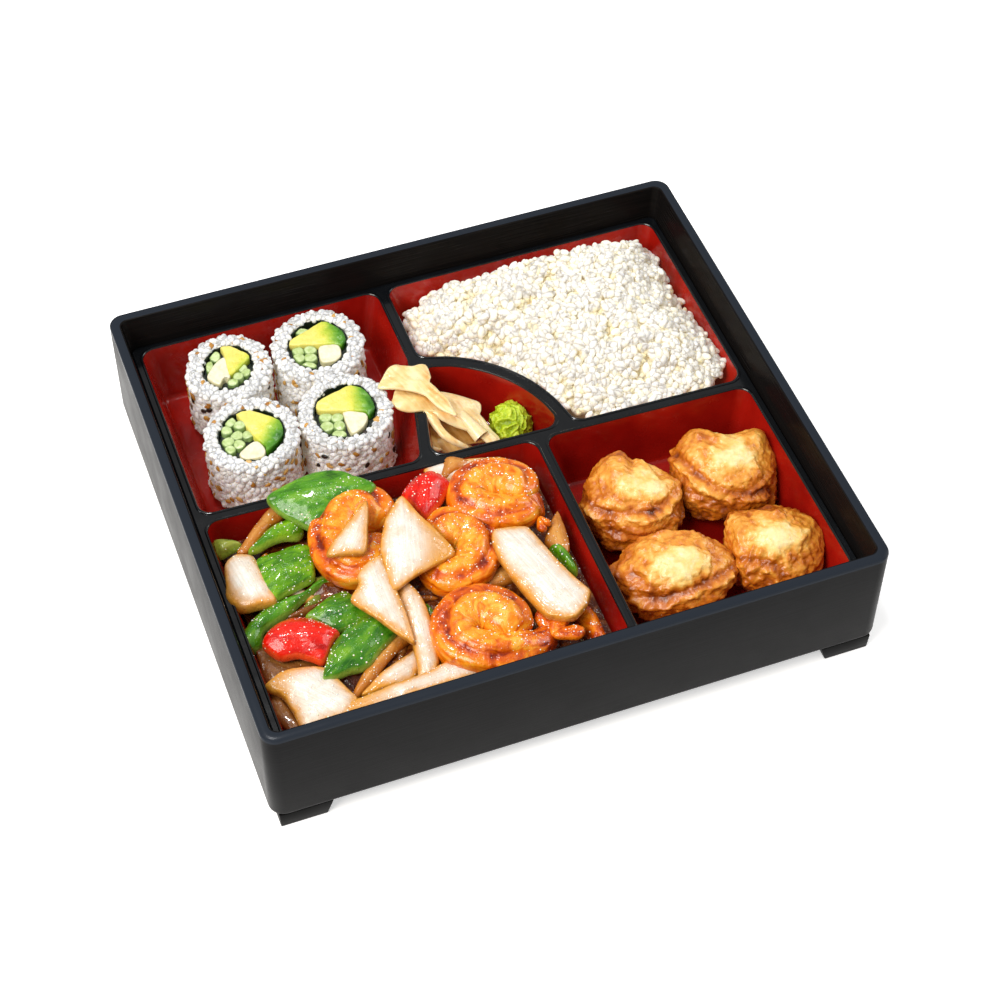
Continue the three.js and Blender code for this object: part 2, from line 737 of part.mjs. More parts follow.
// ---------------------------------------------------------------- dumplings
const DUMPLINGS = [
  { name: "dumpling_1", at: [54, -38], size: [43.5, 39, 31], turn: 0.4, flap: 2.5 },
  { name: "dumpling_2", at: [98.3, -36.5], size: [43.5, 39, 31], turn: 1.9, flap: 1.1 },
  { name: "dumpling_3", at: [56.5, -82], size: [46, 38, 31], turn: 3.1, flap: 5.9 },
  { name: "dumpling_4", at: [100.3, -82], size: [41, 40, 31], turn: 4.4, flap: 2.1 },
];
const DUMPLING_BASE = 0.88; // where the flat base cuts the ball, as a share of half its height

// A round parcel on a flat base. Its gathered edge stands up at one side.
function makeDumpling({ at, size, turn, flap }) {
  const ball = eachPoint(bare(new THREE.SphereGeometry(1, 14, 9).rotateX(Math.PI / 2)), (p) => {
    const angle = Math.atan2(p.y, p.x);
    const level = 1 - p.z * p.z;
    const lump = 1 + level * (0.05 * Math.sin(3 * angle + turn) + 0.035 * Math.sin(5 * angle - turn));
    const lift = p.z > 0 ? 0.2 * level * Math.max(0, Math.cos(angle - flap)) ** 6 : 0;
    p.set(p.x * lump, p.y * lump, Math.max(p.z, -DUMPLING_BASE) + lift);
  });
  ball.scale(size[0] / 2, size[1] / 2, size[2] / 2);
  ball.translate(at[0], at[1], TRAY.floorTop + GAP + (DUMPLING_BASE * size[2]) / 2);
  return geometryOf(largestBody(solidOf(ball).intersect(foodSpace)));
}

// ---------------------------------------------------------------- ginger and wasabi
// The folded slices hang over the divider towards the nearest roll and run down into the
// compartment: stations of the heap, from the end by the roll to the end by the wasabi.
const GINGER = [
  { at: [-29, 46.5, 49.3], width: 13, thick: 2.4 },
  { at: [-22.5, 48, 50.8], width: 22, thick: 4 },
  { at: [-14.5, 45.5, 51.3], width: 27, thick: 6 },
  { at: [-7, 39.5, 48.3], width: 27, thick: 11 },
  { at: [-1.5, 31.5, 42], width: 25, thick: 15 },
  { at: [3.5, 25, 34], width: 25, thick: 15 },
  { at: [6, 20, 27], width: 20, thick: 12 },
];
const GINGER_YAW = -42;

function makeGinger(grow) {
  const yaw = degrees(GINGER_YAW);
  const across = new THREE.Vector3(-Math.sin(yaw), Math.cos(yaw), 0);
  const points = GINGER.map(({ at }) => new THREE.Vector3(...at));
  const rings = GINGER.map(({ width, thick }, i) => {
    const along = points[Math.min(i + 1, points.length - 1)].clone().sub(points[Math.max(i - 1, 0)]);
    along.addScaledVector(across, -along.dot(across)).normalize();
    const up = new THREE.Vector3().crossVectors(along, across);
    return sectionRing(points[i], across, up, width / 2 + grow, thick / 2 + grow, 0.9, 10);
  });
  return sweep(rings);
}

const WASABI = { at: [23.4, 27.2, 30.2], radius: 10.2 };

function makeWasabi(grow) {
  const ball = bare(new THREE.IcosahedronGeometry(WASABI.radius + grow, 2));
  eachPoint(ball, (p) =>
    p.multiplyScalar(1 + 0.05 * Math.sin(1.1 * p.x + 0.7 * p.y) * Math.cos(0.9 * p.z)),
  );
  return ball.translate(...WASABI.at);
}

// ---------------------------------------------------------------- the whole meal
addMesh("box", makeBox(), FINISHES.lacquer());
addMesh("tray", makeTray(), FINISHES.tray());
ROLLS.forEach((roll, index) => makeRoll(roll, 2 * index));
addMesh("rice", geometryOf(solidOf(makeRice()).intersect(foodSpace)), FINISHES.rice());
layPieces(
  [
    { name: "wasabi", make: makeWasabi, material: FINISHES.wasabi },
    { name: "ginger", make: makeGinger, material: FINISHES.ginger },
  ],
  ROLLS.map(rollSpace),
);
DUMPLINGS.forEach((spec) => addMesh(spec.name, makeDumpling(spec), FINISHES.dumpling()));
layPieces([
  ...stirFryPieces,
  { name: "sauce_bed", make: makeSauceBed, material: FINISHES.sauce },
]);

export default bento;
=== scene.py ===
"""A filled bento box, built in detail over its solid frame.

Sizes in this file are in millimetres. They become metres when a mesh is made into a piece.
"""

import logging
import math
from dataclasses import dataclass
from enum import Enum
from typing import Callable, Iterable, Sequence

import bmesh
import bpy
import numpy as np
from mathutils import Matrix, Vector, noise
from mathutils.bvhtree import BVHTree


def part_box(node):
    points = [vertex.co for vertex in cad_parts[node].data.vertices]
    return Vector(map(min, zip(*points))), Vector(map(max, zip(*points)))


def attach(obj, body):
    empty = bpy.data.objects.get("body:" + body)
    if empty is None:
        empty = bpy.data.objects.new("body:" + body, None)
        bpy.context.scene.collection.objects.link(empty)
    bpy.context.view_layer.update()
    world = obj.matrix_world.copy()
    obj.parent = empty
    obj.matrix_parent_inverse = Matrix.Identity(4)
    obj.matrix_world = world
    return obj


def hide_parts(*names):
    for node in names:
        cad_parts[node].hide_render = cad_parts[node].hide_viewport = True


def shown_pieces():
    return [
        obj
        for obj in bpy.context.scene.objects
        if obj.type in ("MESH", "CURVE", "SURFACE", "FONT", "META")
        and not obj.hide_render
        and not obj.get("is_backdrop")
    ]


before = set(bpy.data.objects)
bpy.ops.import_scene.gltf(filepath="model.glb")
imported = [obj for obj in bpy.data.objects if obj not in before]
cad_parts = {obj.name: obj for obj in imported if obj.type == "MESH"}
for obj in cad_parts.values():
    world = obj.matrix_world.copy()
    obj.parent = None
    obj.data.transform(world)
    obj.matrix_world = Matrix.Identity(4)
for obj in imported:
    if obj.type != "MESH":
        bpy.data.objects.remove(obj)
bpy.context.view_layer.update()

LOG = logging.getLogger("bento")
MM = 0.001  # metres in a millimetre

Place = Callable[[float, float], Vector]
Outline = list[Vector]
Socket = bpy.types.NodeSocket


# ------------------------------------------------------------------ small helpers
def colour(code: str) -> tuple[float, float, float, float]:
    """A linear colour from a screen colour code.

    Args:
        code: Six hexadecimal digits, such as ffcc00.

    Returns:
        Red, green, blue and alpha.
    """
    levels = (int(code[i : i + 2], 16) / 255 for i in (0, 2, 4))
    linear = (c / 12.92 if c < 0.04045 else ((c + 0.055) / 1.055) ** 2.4 for c in levels)
    return (*linear, 1.0)


def smooth(low: float, high: float, value: float) -> float:
    """A soft step from 0 at low to 1 at high."""
    t = min(max((value - low) / (high - low), 0.0), 1.0)
    return t * t * (3 - 2 * t)


def rough(point: Vector, size: float, octaves: int = 3) -> float:
    """Smooth random unevenness, about -1 to 1.

    Args:
        point: Where, in millimetres.
        size: The size of the largest lumps, in millimetres.
        octaves: How many finer layers it has.

    Returns:
        The height there.
    """
    return noise.fractal(point / size, 0.9, 2.1, octaves)


def box_of(node: str) -> tuple[Vector, Vector]:
    """The lowest and highest corners of a frame node, in millimetres."""
    low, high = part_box(node)
    return Vector(low) / MM, Vector(high) / MM


def centre_of(node: str) -> Vector:
    """The middle of a frame node's box, in millimetres."""
    low, high = box_of(node)
    return (low + high) / 2


def surface_of(node: str) -> BVHTree:
    """The skin of a frame node, in millimetres, to cast rays at."""
    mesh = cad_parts[node].data
    points = [v.co / MM for v in mesh.vertices]
    return BVHTree.FromPolygons(points, [tuple(p.vertices) for p in mesh.polygons])


# ------------------------------------------------------------------ finishes
class Source(Enum):
    """What a finish's pattern follows."""

    OBJECT = "object"
    GRAIN = "grain"


class Recipe:
    """Short calls that lay out the nodes of one material."""

    def __init__(self, name: str, roughness: float = 0.4, source: Source = Source.OBJECT) -> None:
        """Starts a material.

        Args:
            name: The material's name.
            roughness: Its roughness where nothing else sets it.
            source: What its pattern follows.
        """
        self.material = bpy.data.materials.new(name)
        self.material.use_nodes = True
        self.tree = self.material.node_tree
        self.shader = self.tree.nodes["Principled BSDF"]
        self.shader.inputs["Roughness"].default_value = roughness
        self.points = self._points(source)

    def _points(self, source: Source) -> Socket:
        """The pattern's coordinates in millimetres."""
        if source is Source.GRAIN:
            return self.attribute("grain", "Vector")
        coords = self.tree.nodes.new("ShaderNodeTexCoord")
        scaled = self.tree.nodes.new("ShaderNodeVectorMath")
        scaled.operation = "SCALE"
        scaled.inputs["Scale"].default_value = 1 / MM
        self.tree.links.new(coords.outputs["Object"], scaled.inputs[0])
        return scaled.outputs[0]

    def attribute(self, name: str, output: str = "Fac") -> Socket:
        """A value that the mesh carries."""
        node = self.tree.nodes.new("ShaderNodeAttribute")
        node.attribute_name = name
        return node.outputs[output]

    def set(self, **values: float | tuple) -> None:
        """Sets shader sockets: an underscore in a name stands for a space."""
        for name, value in values.items():
            self.shader.inputs[name.replace("_", " ")].default_value = value

    def feed(self, socket: str, value: Socket) -> None:
        """Links a value to a shader socket."""
        self.tree.links.new(value, self.shader.inputs[socket])

    def stretched(self, stretch: Sequence[float]) -> Socket:
        """The coordinates divided by a length along each axis."""
        node = self.tree.nodes.new("ShaderNodeVectorMath")
        node.operation = "DIVIDE"
        node.inputs[1].default_value = stretch
        self.tree.links.new(self.points, node.inputs[0])
        return node.outputs[0]

    def clouds(self, size: float | Sequence[float], detail: float = 3.0, warp: float = 0.0) -> Socket:
        """A soft random pattern.

        Args:
            size: The size of its blotches, or one for each axis.
            detail: How many finer layers it has.
            warp: How twisted it is.

        Returns:
            A value around 0.5.
        """
        node = self.tree.nodes.new("ShaderNodeTexNoise")
        sizes = (size, size, size) if isinstance(size, (int, float)) else size
        self.tree.links.new(self.stretched(sizes), node.inputs["Vector"])
        node.inputs["Scale"].default_value = 1.0
        node.inputs["Detail"].default_value = detail
        node.inputs["Distortion"].default_value = warp
        return node.outputs["Fac"]

    def cells(self, size: float | Sequence[float], feature: str = "F1") -> Socket:
        """The distance from the nearest of many scattered points, or from a cell's edge."""
        node = self.tree.nodes.new("ShaderNodeTexVoronoi")
        node.feature = feature
        sizes = (size, size, size) if isinstance(size, (int, float)) else size
        self.tree.links.new(self.stretched(sizes), node.inputs["Vector"])
        node.inputs["Scale"].default_value = 1.0
        return node.outputs["Distance"]

    def height(self) -> Socket:
        """The coordinates' third part."""
        node = self.tree.nodes.new("ShaderNodeSeparateXYZ")
        self.tree.links.new(self.points, node.inputs[0])
        return node.outputs["Z"]

    def maths(self, operation: str, first: Socket | float, second: Socket | float) -> Socket:
        """One sum on two values, each a socket or a number."""
        node = self.tree.nodes.new("ShaderNodeMath")
        node.operation = operation
        for socket, value in zip(node.inputs, (first, second)):
            if isinstance(value, (int, float)):
                socket.default_value = value
            else:
                self.tree.links.new(value, socket)
        return node.outputs[0]

    def ramp(self, value: Socket, stops: Sequence[tuple[float, str]]) -> Socket:
        """Colours along a value.

        Args:
            value: What chooses the colour.
            stops: Positions from 0 to 1 and screen colour codes.

        Returns:
            The colour.
        """
        node = self.tree.nodes.new("ShaderNodeValToRGB")
        band = node.color_ramp
        while len(band.elements) < len(stops):
            band.elements.new(1.0)
        for element, (position, code) in zip(band.elements, stops):
            element.position = position
            element.color = colour(code)
        self.tree.links.new(value, node.inputs["Fac"])
        return node.outputs["Color"]

    def span(self, value: Socket, low: float, high: float, start: float, end: float) -> Socket:
        """Maps low..high to start..end, held at both ends."""
        node = self.tree.nodes.new("ShaderNodeMapRange")
        self.tree.links.new(value, node.inputs["Value"])
        for name, number in zip(("From Min", "From Max", "To Min", "To Max"), (low, high, start, end)):
            node.inputs[name].default_value = number
        return node.outputs["Result"]

    def blend(self, amount: Socket | float, first: Socket | str, second: Socket | str, mode: str = "MIX") -> Socket:
        """Mixes two colours, each a socket or a colour code."""
        node = self.tree.nodes.new("ShaderNodeMix")
        node.data_type = "RGBA"
        node.blend_type = mode
        inputs = (node.inputs["Factor"], node.inputs["A"], node.inputs["B"])
        colours = [s for s in node.inputs if s.type == "RGBA"]
        for socket, value in ((inputs[0], amount), (colours[0], first), (colours[1], second)):
            if isinstance(value, str):
                socket.default_value = colour(value)
            elif isinstance(value, (int, float)):
                socket.default_value = value
            else:
                self.tree.links.new(value, socket)
        return next(s for s in node.outputs if s.type == "RGBA")

    def relief(self, layers: Iterable[tuple[Socket, float]]) -> None:
        """Bumps, each with the depth in millimetres from its lowest to its highest value."""
        normal = None
        for height, depth in layers:
            node = self.tree.nodes.new("ShaderNodeBump")
            node.inputs["Distance"].default_value = depth * MM
            self.tree.links.new(height, node.inputs["Height"])
            if normal is not None:
                self.tree.links.new(normal, node.inputs["Normal"])
            normal = node.outputs["Normal"]
        self.feed("Normal", normal)


@dataclass(frozen=True)
class Finish:
    """What a piece is coated or made of."""

    name: str
    slot: str

    def material(self) -> bpy.types.Material:
        """The finish's material, made once."""
        known = bpy.data.materials.get(self.name)
        return known or self.recipe().material

    def recipe(self) -> Recipe:
        """Lays out the material."""
        raise NotImplementedError


@dataclass(frozen=True)
class Lacquer(Finish):
    """Black lacquered plastic with a fine brushed grain along its sides, and a painted bluish reflection on its
    polished rim.
    """

    base: str = "0a0a0b"
    worn: str = "151517"
    roughness: float = 0.36
    # Above this height the lacquer is glossier and is also painted bluish grey, a painted reflection.
    gloss_above: float = 1000.0  # height over which it is polished

    def recipe(self) -> Recipe:
        """Lays out the material."""
        r = Recipe(self.name, self.roughness)
        grain = r.clouds((22.0, 22.0, 0.35), 4.0)
        smudges = r.clouds(18.0, 3.0)
        matt = r.maths("ADD", r.span(grain, 0.2, 0.8, -0.05, 0.05), r.span(smudges, 0.3, 0.7, -0.03, 0.05))
        matt = r.maths("ADD", matt, self.roughness)
        polished = r.maths("GREATER_THAN", r.height(), self.gloss_above)
        brushed = r.blend(r.span(grain, 0.3, 0.75, 0.0, 1.0), self.base, self.worn)
        # Painted reflection: over gloss_above the base colour turns bluish grey, the room reflected in the polished
        # rim.
        r.feed("Base Color", r.blend(polished, brushed, "262b33"))
        matt = r.maths("SUBTRACT", matt, r.maths("MULTIPLY", polished, self.roughness * 0.5))
        r.feed("Roughness", matt)
        r.relief([(grain, 0.03), (r.clouds(0.6, 2.0), 0.012)])
        r.set(Specular_IOR_Level=0.06)
        return r


@dataclass(frozen=True)
class PolishedLacquer(Finish):
    """Smooth glossy lacquer with a faint orange-peel surface."""

    light: str = "a3130a"
    dark: str = "7d0a06"
    roughness: float = 0.22
    coat: float = 0.3

    def recipe(self) -> Recipe:
        """Lays out the material."""
        r = Recipe(self.name, self.roughness)
        r.feed("Base Color", r.blend(r.span(r.clouds(26.0, 3.0), 0.35, 0.65, 0.0, 1.0), self.dark, self.light))
        r.feed("Roughness", r.span(r.clouds(9.0, 4.0), 0.3, 0.7, self.roughness - 0.05, self.roughness + 0.08))
        r.relief([(r.clouds(3.5, 2.0), 0.05), (r.clouds(0.5, 1.0), 0.004)])
        r.set(Coat_Weight=self.coat, Coat_Roughness=0.08, Specular_IOR_Level=0.3)
        return r


@dataclass(frozen=True)
class RiceGrain(Finish):
    """Moist steamed rice."""

    pale: str = "fffbf2"
    warm: str = "f6ebd2"
    glow: float = 0.05  # stands in for light that passes through the heap

    def recipe(self) -> Recipe:
        """Lays out the material."""
        r = Recipe(self.name, 0.34)
        tone = r.attribute("tone")
        patches = r.span(r.clouds(7.0, 2.0), 0.35, 0.7, 0.0, 0.5)
        r.feed("Base Color", r.blend(r.maths("MULTIPLY", r.maths("ADD", tone, patches), 0.6), self.pale, self.warm))
        r.feed("Roughness", r.span(r.clouds(1.3, 2.0), 0.3, 0.7, 0.3, 0.48))
        r.relief([(r.clouds(1.1, 2.0), 0.1)])
        r.set(Subsurface_Weight=0.8, Subsurface_Radius=(1.0, 0.9, 0.72), Subsurface_Scale=0.0025)
        r.set(Emission_Color=colour("fff0d4"), Emission_Strength=self.glow)
        return r


@dataclass(frozen=True)
class RicePaste(Finish):
    """The rice seen deep between the grains, with painted shade in its crevices and a painted glow."""

    pale: str = "faf4e4"
    deep: str = "ecdcb4"

    def recipe(self) -> Recipe:
        """Lays out the material."""
        r = Recipe(self.name, 0.45)
        grains = r.cells((2.6, 2.6, 2.2))
        # Painted shade: the paste darkens towards the edges of its cells, the crevices between the grains.
        r.feed("Base Color", r.blend(r.span(grains, 0.2, 0.8, 0.0, 1.0), self.pale, self.deep))
        r.relief([(r.maths("SUBTRACT", 1.0, grains), 1.0), (r.clouds(0.9), 0.15)])
        r.set(Subsurface_Weight=0.15, Subsurface_Radius=(1.0, 0.8, 0.6), Subsurface_Scale=0.0012)
        # Painted light: a faint warm glow lifts the shade between the grains.
        r.set(Emission_Color=colour("ffe2a8"), Emission_Strength=0.07)
        return r


@dataclass(frozen=True)
class Seaweed(Finish):
    """Thin dark seaweed with a wrinkled face."""

    def recipe(self) -> Recipe:
        """Lays out the material."""
        r = Recipe(self.name, 0.42)
        fibres = r.clouds((1.2, 1.2, 3.0), 5.0, 1.5)
        r.feed("Base Color", r.ramp(fibres, [(0.3, "050a06"), (0.6, "10210f"), (0.8, "27401d")]))
        r.relief([(fibres, 0.25), (r.cells(0.8), 0.1)])
        return r


@dataclass(frozen=True)
class Avocado(Finish):
    """Avocado flesh: yellow by the stone and green by the skin."""

    def recipe(self) -> Recipe:
        """Lays out the material."""
        r = Recipe(self.name, 0.3, Source.GRAIN)
        wavy = r.maths("ADD", r.attribute("tone"), r.span(r.clouds(4.0, 3.0), 0.3, 0.7, -0.09, 0.09))
        stops = [(0.0, "e6da72"), (0.3, "d8d656"), (0.5, "b2c63e"), (0.7, "7dab2b"), (0.88, "4f8c1c"), (1.0, "2f6812")]
        streaks = r.span(r.clouds((0.9, 3.0, 3.0), 4.0), 0.5, 0.8, 0.0, 0.25)
        r.feed("Base Color", r.blend(streaks, r.ramp(wavy, stops), "b9a940", "MULTIPLY"))
        r.feed("Roughness", r.span(r.clouds(1.5), 0.3, 0.7, 0.22, 0.42))
        r.relief([(r.clouds(1.6, 4.0), 0.25), (r.clouds((0.4, 2.0, 2.0), 2.0), 0.06)])
        r.set(Subsurface_Weight=0.15, Subsurface_Radius=(1.0, 0.9, 0.3), Subsurface_Scale=0.0015)
        return r


@dataclass(frozen=True)
class CutVegetable(Finish):
    """A crisp pale stick: flesh inside and a darker skin outside."""

    flesh: str = "cbdca4"
    seed: str = "a3bb6c"
    skin: str = "4a6e2a"

    def recipe(self) -> Recipe:
        """Lays out the material."""
        r = Recipe(self.name, 0.25, Source.GRAIN)
        flesh = r.blend(r.span(r.clouds(2.0, 4.0), 0.35, 0.7, 0.0, 1.0), self.flesh, self.seed)
        r.feed("Base Color", r.blend(r.span(r.attribute("rim"), 0.1, 0.6, 0.8, 0.0), flesh, self.skin))
        r.relief([(r.clouds(0.9, 3.0), 0.2), (r.clouds((0.3, 0.3, 4.0)), 0.08)])
        r.set(Subsurface_Weight=0.2, Subsurface_Radius=(0.8, 1.0, 0.5), Subsurface_Scale=0.0015, Coat_Weight=0.25)
        return r


@dataclass(frozen=True)
class Sesame(Finish):
    """Toasted sesame seeds, a few of them black."""

    def recipe(self) -> Recipe:
        """Lays out the material."""
        r = Recipe(self.name, 0.38)
        stops = [(0.0, "241a10"), (0.1, "2a1c10"), (0.13, "a97128"), (0.6, "cf9a45"), (1.0, "e3bd74")]
        toasted = r.ramp(r.attribute("tone"), stops)
        r.feed("Base Color", r.blend(r.span(r.clouds(0.5, 3.0), 0.3, 0.7, 0.0, 0.4), toasted, "8a5a24", "MULTIPLY"))
        r.relief([(r.clouds(0.4), 0.08)])
        return r


@dataclass(frozen=True)
class PickledGinger(Finish):
    """Thin wet slices with fine fibres."""

    low: str = "e0a654"
    mid: str = "f3cf8f"
    high: str = "fde7b8"

    def recipe(self) -> Recipe:
        """Lays out the material."""
        r = Recipe(self.name, 0.28, Source.GRAIN)
        fibres = r.clouds((9.0, 1.4, 1.4), 3.0)
        mixed = r.maths("ADD", r.maths("MULTIPLY", fibres, 0.35), r.maths("MULTIPLY", r.clouds(9.0, 2.0), 0.65))
        base = r.ramp(mixed, [(0.34, self.low), (0.48, self.mid), (0.62, self.high)])
        r.feed("Base Color", r.blend(r.span(r.attribute("rim"), 0.1, 0.9, 0.7, 0.0), base, self.high))
        r.feed("Roughness", r.span(r.clouds(2.0), 0.3, 0.7, 0.22, 0.42))
        r.relief([(fibres, 0.14), (r.clouds(4.0, 2.0), 0.25)])
        r.set(Subsurface_Weight=0.3, Subsurface_Radius=(1.2, 0.8, 0.4), Subsurface_Scale=0.002, Coat_Weight=0.3)
        return r


@dataclass(frozen=True)
class WasabiPaste(Finish):
    """Bright green grated paste."""

    def recipe(self) -> Recipe:
        """Lays out the material."""
        r = Recipe(self.name, 0.4)
        crumbs = r.cells(1.2)
        # Painted shade: the tone and the gaps between the crumbs darken the paste where it lies low.
        depth = r.maths("ADD", r.attribute("tone"), r.maths("MULTIPLY", crumbs, 0.25))
        r.feed("Base Color", r.ramp(depth, [(0.15, "d3e34c"), (0.45, "b4cc24"), (0.75, "93ad10"), (1.0, "6a8402")]))
        r.relief([(r.maths("SUBTRACT", 1.0, crumbs), 0.35), (r.clouds(0.5, 3.0), 0.2)])
        r.set(Subsurface_Weight=0.2, Subsurface_Radius=(0.8, 1.0, 0.2), Subsurface_Scale=0.0015)
        return r


@dataclass(frozen=True)
class FriedDough(Finish):
    """Blistered fried dough: browned on its blisters and crinkles, with painted light where it stands proud and on top,
    and painted shade in its folds and underneath.
    """

    def recipe(self) -> Recipe:
        """Lays out the material."""
        r = Recipe(self.name, 0.36)
        toast = r.maths("ADD", r.attribute("tone"), r.span(r.clouds(6.0, 4.0, 0.6), 0.3, 0.7, -0.14, 0.14))
        toast = r.maths("ADD", toast, r.span(r.cells(2.4), 0.1, 0.7, -0.04, 0.06))
        stops = [(0.05, "fbe2a6"), (0.26, "f6c872"), (0.46, "e89e38"), (0.66, "c66c12"), (0.88, "8e4004"), (1.0, "602703")]
        r.feed("Base Color", r.ramp(toast, stops))
        r.feed("Roughness", r.span(r.clouds(2.2, 3.0), 0.3, 0.7, 0.26, 0.5))
        r.relief([(r.clouds(2.6, 3.0), 0.35), (r.cells(1.3), 0.08), (r.clouds(0.4, 2.0), 0.03)])
        r.set(Subsurface_Weight=0.12, Subsurface_Radius=(1.0, 0.5, 0.2), Subsurface_Scale=0.0015, Coat_Weight=0.35, Coat_Roughness=0.25)
        return r


@dataclass(frozen=True)
class Glazed(Finish):
    """Food under a clear sticky glaze. The subclasses say what is under it."""

    coat: float = 0.6

    def glaze(self, r: Recipe, height: Socket, depth: float) -> None:
        """Adds the wet coat and its unevenness.

        Args:
            r: The recipe.
            height: The food's own relief.
            depth: The depth of that relief.
        """
        r.feed("Roughness", r.span(r.clouds(2.4, 3.0), 0.3, 0.7, 0.16, 0.36))
        beads = r.maths("SUBTRACT", 1.0, r.span(r.cells(1.15), 0.0, 0.34, 0.0, 1.0))
        r.relief([(height, depth), (r.clouds(1.7, 3.0), 0.28), (beads, 0.16)])
        r.set(Coat_Weight=self.coat, Coat_Roughness=0.06, Coat_IOR=1.45, Specular_IOR_Level=0.3)


@dataclass(frozen=True)
class ShrimpFlesh(Glazed):
    """Glazed shrimp: golden flesh, red-orange towards the tail, brown in its cut, and painted shade in its creases and
    underneath.
    """

    deepen: float = 0.0

    def recipe(self) -> Recipe:
        """Lays out the material."""
        r = Recipe(self.name, 0.25, Source.GRAIN)
        blotches = r.span(r.clouds((5.0, 4.0, 4.0), 4.0, 0.8), 0.3, 0.7, self.deepen - 0.26, self.deepen + 0.26)
        stops = [(0.0, "fcc65a"), (0.3, "f6a42c"), (0.5, "ea8010"), (0.7, "d25a04"), (0.88, "a03203"), (1.0, "701c03")]
        r.feed("Base Color", r.ramp(r.maths("ADD", r.attribute("tone"), blotches), stops))
        self.glaze(r, r.clouds((1.0, 4.0, 4.0), 4.0), 0.3)
        r.set(Subsurface_Weight=0.1, Subsurface_Radius=(1.5, 0.7, 0.2), Subsurface_Scale=0.002)
        return r


@dataclass(frozen=True)
class OnionFlesh(Glazed):
    """Glazed onion: pale translucent flesh, fine veins, golden edges."""

    pale: str = "e9e6df"
    vein: str = "dad3c6"
    edge: str = "d8942e"
    deep: str = "8f5014"
    browned: float = 0.0

    def recipe(self) -> Recipe:
        """Lays out the material."""
        r = Recipe(self.name, 0.25, Source.GRAIN)
        veins = r.clouds((18.0, 0.7, 2.0), 2.0)
        flesh = r.blend(r.span(veins, 0.4, 0.66, 0.0, 0.8), self.pale, self.vein)
        stain = r.span(r.clouds(7.0, 4.0, 0.5), 0.5, 0.78, self.browned, 0.34 + self.browned)
        flesh = r.blend(stain, flesh, "dba65c", "MULTIPLY")
        wavy = r.span(r.clouds(5.0, 3.0), 0.3, 0.7, -0.8, 0.8)
        inset = r.maths("ADD", r.attribute("rim"), wavy)
        flesh = r.blend(r.span(inset, 2.0, 6.2, 0.5, 0.0), flesh, self.edge)
        flesh = r.blend(r.span(inset, 0.6, 2.9, 0.95, 0.0), flesh, self.edge)
        flesh = r.blend(r.maths("MULTIPLY", r.attribute("tone"), 0.85), flesh, self.edge)
        r.feed("Base Color", r.blend(r.span(inset, -0.6, 0.5, 0.7, 0.0), flesh, self.deep))
        self.glaze(r, veins, 0.06)
        r.set(Subsurface_Weight=0.2, Subsurface_Radius=(1.2, 1.0, 0.7), Subsurface_Scale=0.002)
        return r


@dataclass(frozen=True)
class PepperSkin(Glazed):
    """Glazed pepper or pea pod: shiny skin, lighter where it is cut."""

    light: str = "86b414"
    mid: str = "548e08"
    dark: str = "265a04"
    cut: str = "a6c444"

    def recipe(self) -> Recipe:
        """Lays out the material."""
        r = Recipe(self.name, 0.22, Source.GRAIN)
        patches = r.clouds((9.0, 4.0, 4.0), 4.0, 0.6)
        skin = r.ramp(patches, [(0.3, self.dark), (0.5, self.mid), (0.72, self.light)])
        skin = r.blend(r.span(r.clouds((8.0, 0.6, 2.0), 3.0), 0.55, 0.8, 0.0, 0.35), skin, self.light)
        inset = r.maths("ADD", r.attribute("rim"), r.span(r.clouds(4.0), 0.3, 0.7, -0.3, 0.3))
        r.feed("Base Color", r.blend(r.span(inset, 0.2, 1.0, 0.75, 0.0), skin, self.cut))
        self.glaze(r, r.clouds((6.0, 1.2, 2.0), 3.0), 0.3)
        r.set(Subsurface_Weight=0.08, Subsurface_Radius=(0.6, 1.0, 0.2), Subsurface_Scale=0.0015)
        return r


@dataclass(frozen=True)
class Sauce(Glazed):
    """Thick brown sauce over small bits."""

    def recipe(self) -> Recipe:
        """Lays out the material."""
        r = Recipe(self.name, 0.15)
        pools = r.clouds(6.0, 5.0, 0.8)
        r.feed("Base Color", r.ramp(pools, [(0.3, "3a1204"), (0.5, "5e2608"), (0.62, "8e4c12"), (0.78, "b8782a")]))
        self.glaze(r, r.clouds(3.2, 5.0, 0.6), 1.1)
        return r


@dataclass(frozen=True)
class Droplet(Finish):
    """Small wet beads, painted near white so that each shows as a glint of light."""

    def recipe(self) -> Recipe:
        """Lays out the material."""
        r = Recipe(self.name, 0.06)
        # Painted highlight: the beads are near white, so that each reads as a glint.
        r.feed("Base Color", r.ramp(r.attribute("tone"), [(0.0, "fff2da"), (0.6, "fffaf0"), (1.0, "ffffff")]))
        r.relief([(r.clouds(0.3), 0.02)])
        r.set(Coat_Weight=1.0, Coat_Roughness=0.03, Subsurface_Weight=0.3, Subsurface_Scale=0.0006)
        return r


BOX_OUTSIDE = Lacquer("lacquer_outside", "lacquer", gloss_above=60.65)
# Painted shade: the feet are the box's lacquer made darker, as they stand in the shade under the box.
BOX_FEET = Lacquer("lacquer_feet", "lacquer", base="050505", worn="0c0c0d")
BOX_INSIDE = Lacquer("lacquer_inside", "lacquer", base="0d0c0c", worn="191615", roughness=0.24)
TRAY_BLACK = PolishedLacquer("tray_black", "tray_red", light="0d1014", dark="07090c", roughness=0.2, coat=0.5)
TRAY_RED = PolishedLacquer("tray_gloss", "tray_red", light="a3170c", dark="830c07")
RICE = RiceGrain("rice_grain", "rice")
